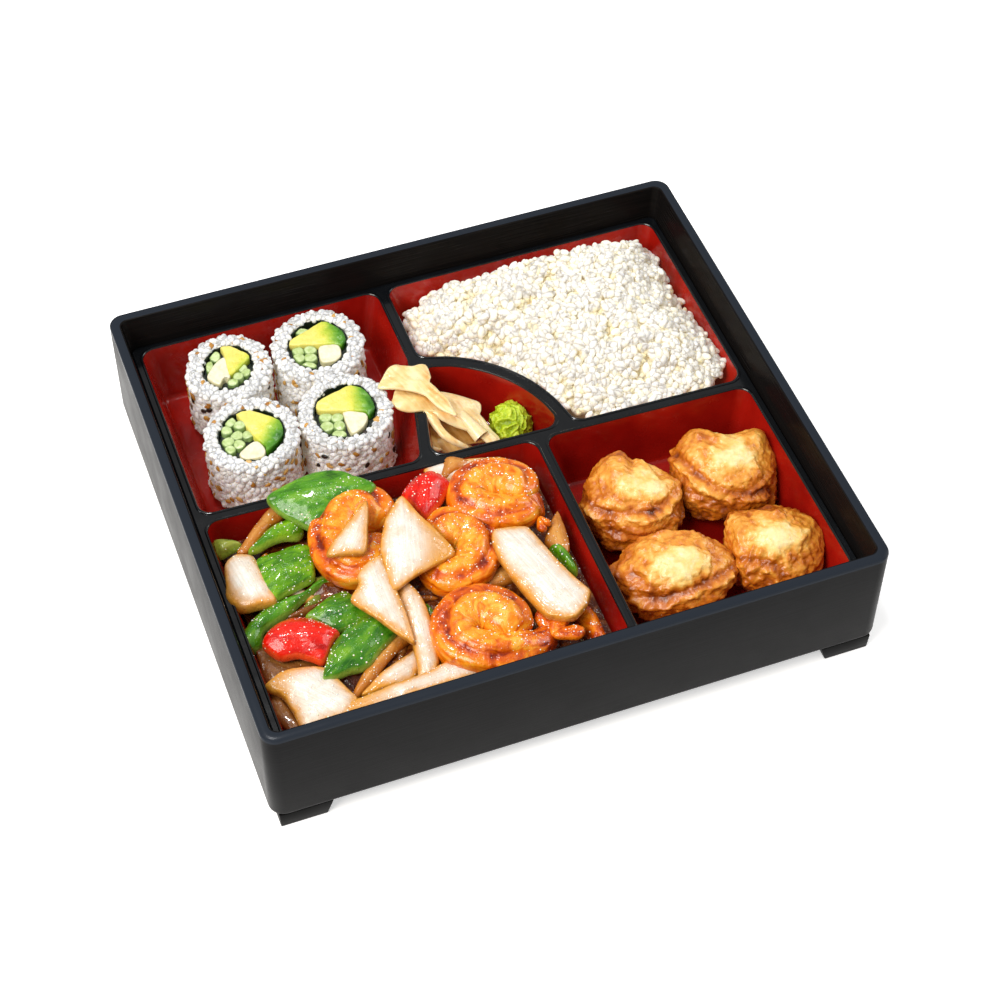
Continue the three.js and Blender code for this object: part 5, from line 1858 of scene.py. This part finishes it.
# ------------------------------------------------------------------ the stir-fry
@dataclass
class StirFry:
    """Shrimp, onion, peppers and peas over a bed of sauce."""

    bits: int = 80
    droplets: int = 2600

    def build(self) -> None:
        """Builds the bed, the pieces and the small things on them."""
        self.bed()
        for part in [*self.shrimp(), *self.onions(), *self.peppers(), *self.extras()]:
            part.build()
        self.small_bits()
        self.beads()

    def shrimp(self) -> list[Shrimp]:
        """The four shrimp."""
        return [
            Shrimp(
                "shrimp_1",
                [(10, 6), (9, 11), (6, 18), (-1, 20), (-7, 14), (-9, 4), (-8, -6), (-4, -14), (2, -17.5), (8, -14),
                 (10, -6), (8, 1)],
                wide=11.6, heights=(0.5, 0, 0, -1),
            ),
            Shrimp(
                "shrimp_2",
                [(-12, 7), (-6, 13.5), (1, 14), (7, 10.5), (9.5, 3), (8, -6), (2, -12), (-5, -13), (-11, -8), (-12, -2)],
                wide=11.0, heights=(1, 0, 0, -1), clockwise=True,
            ),
            Shrimp(
                "shrimp_3",
                [(7, -3), (9, 7), (2, 10.5), (-6, 9), (-12, 4), (-12.5, -3), (-6, -8.5), (3, -10), (11, -8), (15, -3),
                 (18, -8), (20, -14)],
                wide=10.8, heights=(1, 0, 0, 0, -4), tips=[(21, -19), (24, -15)],
            ),
            Shrimp(
                "shrimp_4",
                [(14, -2), (12, 8), (5, 13), (-3, 13), (-9, 8), (-11, 1), (-8, -6.5), (0, -10.5), (9, -11.5), (18, -9),
                 (28, -5), (34, 3)],
                wide=11.6, heights=(2.5, 1, 0, 0, -1, -3), tips=[(26, 13), (35.5, 15), (44, 2.5)],
            ),
        ]

    def onions(self) -> list[Slice]:
        """The onion pieces."""

        def cut(name: str, outline: Sequence[Pair], finish: Finish = ONION, **more: float | tuple) -> Slice:
            return Slice(f"{name}_piece", finish, outline, name, **more)

        return [
            cut("onion_4", [(-5, 22.5), (-8.3, 17.4), (-11.2, 9.8), (-12.7, -2.8), (-11.7, -12.3), (-9.3, -21.2),
                            (-6.4, -28), (1, -21.8), (8.2, -16), (17, -8.5), (18.5, -5.4), (17, -2.2), (10.7, 4.7),
                            (3.4, 12.3), (-2, 20)], rise=0.5, slopes=(-0.06, 0.12), golden=(10, 0, 12), curl=3.0, fibre=96),
            cut("onion_3", [(8.3, 19.5), (2, 9.5), (-7.5, -9), (1, -10), (8.7, -8.2), (9.4, 5)], thick=3.0,
                rise=0.5, slopes=(0, 0.12), curl=1.2, fibre=70),
            cut("onion_9", [(-3, 20.5), (-9, 15), (-11.5, 9.5), (-11, 5), (-13.8, -1.5), (-10.5, -6), (-3, -12.5),
                            (6, -20.5), (13, -25), (10.5, -14), (7, -3), (3.5, 6.5), (-1, 18.5)],
                slopes=(-0.1, 0.12), golden=(-60, 12, 24), fibre=112),
            cut("onion_10", [(-9.6, 27), (-12, 17), (-8, 6.6), (-5.2, -2.6), (-3.6, -9.7), (-2, -18), (-1, -23), (4, -22),
                             (6.8, -16.3), (6.5, -9), (5, 1.5), (3, 8), (0.8, 15), (-3.6, 23)],
                slopes=(0, 0.15), golden=(180, 2, 9), fibre=105, thick=4.6),
            cut("onion_7", [(-20, 17.6), (-20, 12), (-17.4, 4.6), (-12.4, -4.4), (-6.8, -13.3), (-1, -20.7), (4, -25.5),
                            (13.3, -27), (16.4, -24.7), (19.6, -19.8), (21, -14), (20.8, -11.7), (14, -4.4), (7.6, 3.7),
                            (2, 12), (-3, 19.2), (-6, 21.6), (-17.4, 19.6)],
                golden=(222, 5, 16), curl=2.2, fibre=128, thick=4.4),
            cut("onion_2", [(-0.1, 12.3), (-4, 13.5), (-9, 12.5), (-12.5, 8), (-12, 2), (-11.3, -4), (-11, -9),
                            (-8, -13.3), (-3, -15.2), (3, -14), (8, -12.4), (10.8, -10.2), (8.5, -4), (6.2, 0.6)],
                thick=5.5, curl=2.6, golden=(215, 3, 11), fibre=120, dome=2.0),
            cut("onion_1", [(3.8, 14.1), (1.4, 12.5), (-1.1, 8.1), (-4, 1.8), (-7.4, -5.8), (-10.3, -12.1), (-5.9, -12.5),
                            (-2, -6.4), (0.9, -1.4), (3.8, 3), (8.2, 7.5), (7.7, 11.3)], GOLDEN_ONION, fibre=60),
            cut("onion_16", [(-16.9, 7), (-14.7, -0.8), (-12.5, -7.9), (-9.8, -12.2), (-3.7, -8.6), (4.5, -5), (12.2, -2.9),
                             (11.1, 0.6), (5.6, 0.6), (-5.4, 2.8), (-12.5, 7)], BROWN_ONION, fibre=-20),
            cut("onion_14", [(-22.4, 5), (-19.3, 2.5), (-15, 0.4), (-10.6, -6), (-6.7, -13.2), (-4, -15.6), (3.7, -13.2),
                             (10.2, -10.3), (13.5, -6.8), (15.5, -1.4), (14.9, 1.1), (9.2, 7.5), (3.7, 14.2), (-0.7, 16),
                             (-8.4, 14.9), (-15.5, 12.1), (-20.4, 7.8)],
                golden=(150, 4, 17), curl=2.6, fibre=150, thick=4.4, dome=1.6),
            cut("onion_15", [(-9.1, 7.6), (-9.4, 3.3), (-8, -2.3), (-4.2, -6.6), (0.2, -10.5), (3.5, -10.2), (5.7, -8),
                             (1.3, -0.2), (-2.5, 6.2), (-5.3, 9)], BROWN_ONION, fibre=120),
            cut("onion_11", [(-12.1, -19.5), (-10.2, -18.1), (-6.4, -13.1), (-1.4, -6), (2.4, 0.4), (6.8, 6.8),
                             (12.3, 13.9), (12.3, 17.5), (7.3, 19.6), (5.2, 17.5), (-0.3, 9), (-4.7, 0.4), (-8, -6.7),
                             (-11.3, -15.2)], GOLDEN_ONION, fibre=58),
            cut("onion_12", [(-12.4, -10.2), (-11.3, -12.3), (-1.4, -8), (7.3, -4.5), (10.1, -0.2), (10.6, 6.2), (9, 11.9),
                             (5.2, 8.3), (-1.4, 2.6), (-7.5, -3.8)], golden=(250, 2, 9), fibre=40),
            cut("onion_13", [(-29, -11), (-28, -17.5), (-11, -12.5), (0, -7), (13, -2), (28.3, 3.6), (24, 10), (20, 15),
                             (10, 9.3), (5, 5.3), (-1.5, 2), (-12, -3), (-22, -8)], golden=(200, 8, 24), fibre=24, curl=1.6),
            cut("onion_8", [(2.4, 14.2), (0.6, 13.3), (-1.6, 7.6), (-3.8, -1.9), (3.5, -9.5), (6.4, -7.6), (6.4, 0)],
                GOLDEN_ONION, fibre=100),
            cut("onion_5", [(-7.3, 6.6), (-7.3, 1.8), (-7.7, -3.9), (-5.3, -5.1), (-2.9, -2), (2, 1.2), (6.4, 5),
                            (-0.4, 6.9), (-5.8, 8.5)], GOLDEN_ONION, fibre=60),
        ]

    def peppers(self) -> list[Slice]:
        """The green and red pepper, the pea pods and a loose tail."""

        def cut(name: str, outline: Sequence[Pair], finish: Finish = GREEN, **more: float | tuple) -> Slice:
            known = {"thick": 5.0, "curl": 2.4, "dome": 2.2, "ribs": 0.05}
            return Slice(f"{name}_piece", finish, outline, name, **{**known, **more})

        return [
            cut("snow_pea_1", [(-22, -0.5), (-18, -7.5), (-11.5, -12.5), (-5, -16.5), (0, -18), (10, -13), (20, -2),
                               (24.5, 7), (15, 12.5), (8, 15.5), (-1, 14.7), (-8, 11.3), (-15.5, 6)], PEA,
                slopes=(0, 0.25), fibre=16, thick=5.5, dome=2.6),
            cut("snow_pea_2", [(-19.3, -17), (-17.6, -19.9), (-13.8, -20.6), (-10, -18.5), (-9.4, -11.4), (-3.9, -6.4),
                               (0.4, -2.1), (2.6, 0.7), (5.5, 4.8), (10.9, 10.5), (15.7, 14.3), (16.2, 16.8),
                               (11.8, 16.2), (4.8, 8.5), (-2.3, 5), (-8.3, 1.4), (-13.8, -3.6), (-17.6, -10),
                               (-19.3, -14.9)], PEA, fibre=45, thick=5.0, curl=1.2),
            cut("pepper_red_2", [(0.6, 9.9), (-4.2, 8.5), (-9.1, 4.7), (-12, -1), (-11.3, -3.5), (-9.1, -5.4),
                                 (-5.2, -10.5), (-1.1, -15.2), (1.6, -11.8), (4, -8.6), (6, -4.8), (8.4, 1.5),
                                 (9.6, 4.4), (8.4, 6.6), (5, 8.8)], RED, dome=3.6, fibre=80, curl=3.6),
            cut("pepper_red_1", [(-15.6, -6.2), (-12.2, -9.7), (-7.3, -11.9), (-0.7, -10.5), (4.8, -11.5), (9.2, -12.9),
                                 (11.6, -9.7), (12.4, -5.5), (14.1, -1.2), (15.5, 1.3), (9.2, 5.5), (1.5, 9.1),
                                 (-4, 9.3), (-8.4, 7.3), (-12.8, 3.1), (-15.2, -1.9)], RED, dome=3.4, fibre=10, curl=3.4),
            cut("pepper_green_2", [(3.1, 8), (-2.7, 5.2), (-6.6, 0.8), (-8.6, -3), (-13, -9.4), (-8.6, -9), (-3.7, -5.6),
                                   (2.1, -2.4), (7.5, -1.1), (9.9, 2), (9, 5.2), (5.6, 7.7)], fibre=40),
            cut("pepper_green_3", [(-7.5, 2.5), (-6.2, -2.2), (-4.3, -6), (1.1, -3.8), (5.5, -1), (3.5, 1.3),
                                   (-3.8, 3.2)], DULL_GREEN, fibre=10, thick=3.5),
            cut("pepper_green_4", [(-14.2, 7.4), (-13.7, 1.1), (-7.8, -12.2), (-5.9, -14.7), (-2, -11.6), (4.3, -7.1),
                                   (10.2, -2.7), (10.7, 1.1), (9.7, 6.8), (8.2, 12.5), (5.8, 14.7), (0, 14.3),
                                   (-5.9, 11.2)], fibre=35),
            cut("pepper_green_6", [(-14.7, -2.5), (-10.3, -4.6), (-4.8, -8.2), (-1, -9.2), (2.8, -7.5), (8.9, -3.9),
                                   (12.2, -0.4), (9.4, 3.2), (6.1, 6.8), (2.3, 11.4), (-0.4, 11.7), (-5.4, 8.9),
                                   (-10.3, 3.2)], DEEP_GREEN, fibre=20),
            cut("pepper_green_7", [(3.6, 17.9), (-0.3, 15.4), (-5.2, 11.2), (-10.1, 4.1), (-12.9, -2.3), (-14, -8),
                                   (-15.1, -13.7), (-14.5, -17.6), (-9.6, -16.2), (-3, -13), (3.6, -9.5), (7.9, -2.3),
                                   (12.9, 4.8), (14, 8.7), (7.9, 14)], DEEP_GREEN, fibre=52, curl=3.4),
            cut("pepper_green_8", [(-6.1, 6.3), (-2.9, 1.5), (2.1, -5), (5.8, -6.7), (6.5, -2.6), (4, 3.1), (-0.4, 8.8),
                                   (-4.2, 8.4)], fibre=120),
            cut("shrimp_tail", [(-4.2, 7.3), (-4.2, 3.3), (-1.7, -0.8), (1.4, -7.3), (3.3, -12.2), (10.2, -9.8),
                                (8.3, -3.3), (5.2, 4.1), (0.2, 8.9)], TAIL, fibre=105),
        ]

    def extras(self) -> list[Slice]:
        """Pieces that show only at their edges."""
        bed = "sauce_bed"
        shapes = [
            ("onion_behind", ONION, [(1, 75), (5, 80), (20, 79), (35, 80), (41, 76), (36, 66), (8, 66)], 14.0),
            ("onion_under", GOLDEN_ONION, [(24, 12), (30, 9), (37, 10), (43, 14), (40, 19), (32, 20), (26, 17)], 12.5),
        ]
        return [
            Slice(name, finish, outline, bed, rise=rise, extra=True, fibre=20) for name, finish, outline, rise in shapes
        ]

    def bed(self) -> None:
        """The lumpy bed of sauce and scraps between the walls."""
        low, high = box_of("sauce_bed")
        middle = (low + high) / 2
        shore = 35.0

        def place(across: float, along: float) -> Vector:
            x = low.x + (high.x - low.x) * across
            y = low.y + (high.y - low.y) * along
            rise = smooth(0.0, 0.25, min(across, 1 - across, along, 1 - along))
            lumps = 1.6 * rough(Vector((x, y, 3)), 11.0, 3) + 0.9 * rough(Vector((x, y, 9)), 4.0, 3)
            return Vector((x, y, shore + (high.z - 1.5 - shore) * rise + lumps * (0.2 + 0.8 * rise)))

        bm = sheet(150, 120, place)
        edge = bmesh.ops.extrude_edge_only(bm, edges=[e for e in bm.edges if e.is_boundary])
        for vert in edge["geom"]:
            if isinstance(vert, bmesh.types.BMVert):
                inward = vert.co * 0.95 + middle * 0.05
                vert.co = Vector((inward.x, inward.y, low.z))
        bmesh.ops.holes_fill(bm, edges=[e for e in bm.edges if e.is_boundary], sides=0)
        bmesh.ops.recalc_face_normals(bm, faces=bm.faces)
        piece(bm, "sauce_and_scraps", [SAUCE], ["sauce_bed"], sharp=60.0)

    def small_bits(self) -> None:
        """Scraps of onion and pepper half sunk in the sauce."""
        low, high = box_of("sauce_bed")
        middle = (low + high) / 2
        back = Matrix.Rotation(math.radians(-VIEW_YAW), 3, "Z")
        chance = np.random.default_rng(31)
        finishes = [BROWN_ONION, GOLDEN_ONION, BROWN_ONION, DULL_GREEN, GOLDEN_ONION, GREEN, BROWN_ONION, ONION]
        for k in range(self.bits):
            spot = Vector((chance.uniform(low.x + 12, high.x - 12), chance.uniform(low.y + 11, high.y - 11), 0))
            level = chance.uniform(39.5, 42.5) - middle.z
            own = back @ (spot - Vector((middle.x, middle.y, 0)))
            heading, bend = chance.uniform(0, math.pi), chance.uniform(-3, 3)
            long, wide = chance.uniform(5, 10), chance.uniform(2.2, 4.5)
            outline = []
            for angle in np.arange(0, 2 * math.pi, math.pi / 5):
                size = chance.uniform(0.8, 1.15)
                along, across = long * size * math.cos(angle), wide * size * math.sin(angle)
                across += bend * (1 - (along / long) ** 2)
                x = own.x + along * math.cos(heading) - across * math.sin(heading)
                y = own.y + along * math.sin(heading) + across * math.cos(heading)
                outline.append((x, y + level / math.tan(VIEW_RISE)))
            Slice(
                f"scrap_{k}", finishes[k % len(finishes)], outline, "sauce_bed", thick=chance.uniform(2.2, 4.0),
                rise=level, fibre=math.degrees(heading), extra=True,
            ).build()

    def beads(self) -> None:
        """Tiny drops of glaze over everything in the compartment, painted near white as glints."""
        points, faces = [], []
        prefixes = ("onion_", "pepper_", "snow_", "shrimp_", "sauce_", "scrap_")
        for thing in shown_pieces():
            if thing.type != "MESH" or not thing.name.startswith(prefixes):
                continue
            first = len(points)
            points += [v.co / MM for v in thing.data.vertices]
            faces += [[first + i for i in p.vertices] for p in thing.data.polygons]
        tree = BVHTree.FromPolygons(points, faces)
        low, high = box_of("sauce_bed")
        chance = np.random.default_rng(77)
        places = []
        while len(places) < self.droplets:
            start = Vector((chance.uniform(low.x, high.x), chance.uniform(low.y, high.y), 90))
            if noise.noise(start * 0.11) + chance.uniform(-0.5, 0.5) < -0.1:
                continue
            hit, normal, _, _ = tree.ray_cast(start, Vector((0, 0, -1)))
            if hit is None or normal.z < 0.2:
                continue
            places.append(at(hit, turned_to(normal, 0.0), 0.15 + 0.34 * chance.random() ** 2.5))
        shape = bmesh.new()
        bmesh.ops.create_icosphere(shape, subdivisions=1, radius=1.0)
        bmesh.ops.scale(shape, vec=(1, 1, 0.6), verts=shape.verts)
        scatter("glaze_droplets", shape, places, DROPLET, 5)


# ------------------------------------------------------------------ the studio
@dataclass
class Studio:
    """A pale floor, soft lights and the camera."""

    azimuth: float = -20.965
    elevation: float = 50.365
    roll: float = 0.704
    distance: float = 1025.54
    target: tuple[float, float, float] = (2.601, -13.355, 31.0)
    lens: float = 84.35

    def build(self) -> None:
        """Sets everything up."""
        self.floor()
        self.lights()
        self.camera()

    def floor(self) -> None:
        """A wide pale floor."""
        bm = bmesh.new()
        bmesh.ops.create_grid(bm, x_segments=1, y_segments=1, size=6.0)
        mesh = bpy.data.meshes.new("floor")
        bm.to_mesh(mesh)
        bm.free()
        paper = bpy.data.materials.new("studio_paper")
        paper.use_nodes = True
        shader = paper.node_tree.nodes["Principled BSDF"]
        shader.inputs["Base Color"].default_value = (0.93, 0.93, 0.93, 1)
        shader.inputs["Roughness"].default_value = 0.9
        shader.inputs["Emission Color"].default_value = (1, 1, 1, 1)
        shader.inputs["Emission Strength"].default_value = 0.5
        mesh.materials.append(paper)
        floor = bpy.data.objects.new("floor", mesh)
        bpy.context.scene.collection.objects.link(floor)
        floor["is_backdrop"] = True

    def light(self, name: str, place: tuple[float, float, float], size: float, power: float, tint: str) -> None:
        """A square soft light that points at the box."""
        lamp = bpy.data.lights.new(name, "AREA")
        lamp.size = size
        lamp.energy = power
        lamp.color = colour(tint)[:3]
        thing = bpy.data.objects.new(name, lamp)
        bpy.context.scene.collection.objects.link(thing)
        thing.location = place
        aim = Vector((0, 0, 0.03)) - Vector(place)
        thing.rotation_euler = aim.to_track_quat("-Z", "Y").to_euler()

    def lights(self) -> None:
        """A key from the left, a fill from the right, a small bright lamp and a bright room."""
        self.light("key", (-0.85, -0.35, 1.1), 0.8, 18.5, "fffaf2")
        self.light("side", (1.2, 0.1, 0.9), 0.7, 6.0, "fffdfa")
        self.light("sparkle", (-0.15, 0.4, 1.3), 0.14, 5.5, "ffffff")
        world = bpy.data.worlds.new("room")
        world.use_nodes = True
        sky = world.node_tree.nodes["Background"]
        sky.inputs["Color"].default_value = (1, 1, 1, 1)
        sky.inputs["Strength"].default_value = 0.36
        bpy.context.scene.world = world
        bpy.context.scene.view_settings.view_transform = "Standard"

    def camera(self) -> None:
        """The camera."""
        azimuth, elevation, roll = (math.radians(a) for a in (self.azimuth, self.elevation, self.roll))
        back = Vector(
            (
                math.sin(azimuth) * math.cos(elevation),
                -math.cos(azimuth) * math.cos(elevation),
                math.sin(elevation),
            )
        )
        right = Vector((math.cos(azimuth), math.sin(azimuth), 0))
        up = back.cross(right)
        across = right * math.cos(roll) + up * math.sin(roll)
        upward = up * math.cos(roll) - right * math.sin(roll)
        lens = bpy.data.cameras.new("camera")
        lens.lens = self.lens
        lens.sensor_width = 36.0
        lens.clip_start = 0.01
        camera = bpy.data.objects.new("camera", lens)
        bpy.context.scene.collection.objects.link(camera)
        turn = Matrix((across, upward, back)).transposed().to_4x4()
        spot = (Vector(self.target) + back * self.distance) * MM
        camera.matrix_world = Matrix.Translation(spot) @ turn
        bpy.context.scene.camera = camera


def sushi() -> list[Roll]:
    """The four rolls."""
    return [
        Roll(
            "roll_1", (11.6, 13.4), 18.9,
            avocado=[(-5.3, 13), (-2.2, 13.8), (9.7, 6.5), (9.1, 4.9), (2.2, -4.5), (0.3, -3.3), (-2.8, 8.1)],
            green=-30,
            white=[(-2.8, 5.7), (-0.9, 4.1), (1.6, -6.1), (-1.6, -7.3), (-2.8, -10.6), (-6.6, -8.9), (-9.1, -5.3), (-6, 2.4)],
            cucumbers=[(-6.4, 6.8, 2, 2.4), (-8.4, 0.6, 1.5, 2.6), (5, -5.6, 2, 2.1), (8, -2.6, 2, 2.1), (6.4, 0.4, 1.8, 2), (3, -9, 2, 1.8)],
            others=["roll_2", "roll_3"],
        ),
        Roll(
            "roll_2", (13.7, 15), 20.6,
            avocado=[(-13.4, 1.2), (-11.2, -0.8), (-1.1, -0.4), (7.6, 0), (10.8, -0.8), (13.3, 5.3), (9.5, 13.4), (6.4, 15),
                     (1.4, 14.2), (-8, 6.1)],
            green=15,
            white=[(1.4, -0.8), (0.8, -6.1), (3.3, -11), (10.5, -8.5), (9.5, -0.4)],
            cucumbers=[(-8.6, -3.4, 2.3, 2.2), (-3.2, -3.2, 2.4, 2.1), (-8, -8, 2.3, 2.2), (-2.6, -8, 2.5, 2.3), (-3, -12.4, 2.6, 1.7),
                       (-7.6, 8.6, 2.6, 1.6)],
            others=["roll_1", "roll_4"],
        ),
        Roll(
            "roll_3", (15, 15), 20.5,
            avocado=[(-6.9, 13.8), (-7.5, 11.4), (1.3, -1.6), (6.3, -6.5), (7.5, -9.8), (12.5, -3.3), (15, 4.9), (10, 8.9),
                     (-3.8, 14.6)],
            green=-25,
            white=[(1.3, -4.1), (-4.4, -10.6), (-1.9, -14.2), (5, -14.2), (6.9, -9.8), (5, -5.7)],
            cucumbers=[(-10, 7.6, 2.3, 2.3), (-5.4, 5, 2.2, 2.2), (-11.2, 2.6, 2, 2.2), (-6.4, 0, 2.3, 2.2), (-1.6, 0.4, 2, 2),
                       (-10, -3.6, 2.2, 2.2), (-5, -5.2, 2.2, 2.2), (-8.6, -8.6, 2.1, 2)],
            others=["roll_1", "roll_4"],
        ),
        Roll(
            "roll_4", (14, 16), 20.5,
            avocado=[(-11.9, 5.3), (-11.3, 0), (0.6, -0.4), (8.8, -0.8), (10.7, -2.8), (13.2, 1.2), (11.9, 6.9), (6.3, 14.2),
                     (3.1, 15.4), (-0.6, 13.4)],
            green=10,
            white=[(-0.3, -0.4), (-0.3, -3.7), (1.6, -9.3), (3.8, -13), (7.5, -11), (10.3, -5.3), (8.8, -1.2)],
            cucumbers=[(-8.4, -3.4, 2.4, 2.2), (-3.2, -3.6, 2.2, 2.2), (-7.4, -8.4, 2.4, 2.4), (-2, -8.4, 2.2, 2.3),
                       (-1.8, -13.2, 2.6, 2.1), (9.6, 11.4, 1.8, 2.6)],
            others=["roll_2", "roll_3"],
        ),
    ]


def wontons() -> list[Dumpling]:
    """The four fried parcels."""
    return [
        Dumpling(
            "dumpling_1",
            [(-22.2, 0), (-18, -9), (-10.7, -16.3), (0.3, -19.6), (11, -17.5), (17.8, -13.4), (21.5, -3), (22.2, 8.6),
             (17.8, 12.9), (3.9, 18.6), (0, 19), (-5, 23.6), (-12.5, 20), (-18.7, 9.3)],
            [(-22, 0), (-14.3, -5.3), (0.3, -6.1), (12, -3.9), (21.5, 5.6)],
            (5, 9, 12, 7.5),
        ),
        Dumpling(
            "dumpling_2",
            [(-22.4, 4), (-20, -8), (-10, -17), (3.9, -19.7), (15, -16), (22, -8), (23.3, 4), (20, 14), (15, 19.8), (1, 17.5),
             (-10.7, 19.8), (-20, 12)],
            [(-21.6, 6.3), (-10.7, -4.7), (0.3, -9.8), (11.3, -10.5), (18.6, -8.3)],
            (4, 9, 12, 9),
        ),
        Dumpling(
            "dumpling_3",
            [(-26.4, 2), (-22, -9), (-10, -17), (2.9, -18.6), (14, -15), (21, -7), (25.9, 2.9), (21, 12), (12, 18), (2.9, 20),
             (-10, 17.5), (-21, 11)],
            [(-17.6, -9.5), (-7.4, -11.7), (2.9, -8), (17.5, -2.2), (25.5, 2.9)],
            (0, 6, 16, 9.5),
        ),
        Dumpling(
            "dumpling_4",
            [(-19.7, 0), (-17, -9), (-9, -16.5), (2, -19), (13, -16.5), (21, -7), (23.2, 3), (19, 13), (12, 17), (4.2, 19.2),
             (-8, 16.5), (-16.2, 13.7)],
            [(-15.5, -6), (-1.6, -8), (2.8, -14)],
            (2, 6, 14, 9),
        ),
    ]


def main() -> None:
    """Builds the box, the tray, the food and the studio in order."""
    logging.basicConfig(level=logging.INFO, format="%(name)s: %(message)s")
    parts = [
        Studio(),
        LacquerBox(),
        Tray(),
        *sushi(),
        RiceMound(),
        GingerHeap(),
        WasabiBall(),
        *wontons(),
        StirFry(),
    ]
    for part in parts:
        part.build()
        LOG.info("built %s", getattr(part, "name", type(part).__name__))


if __name__ == "__main__":
    main()
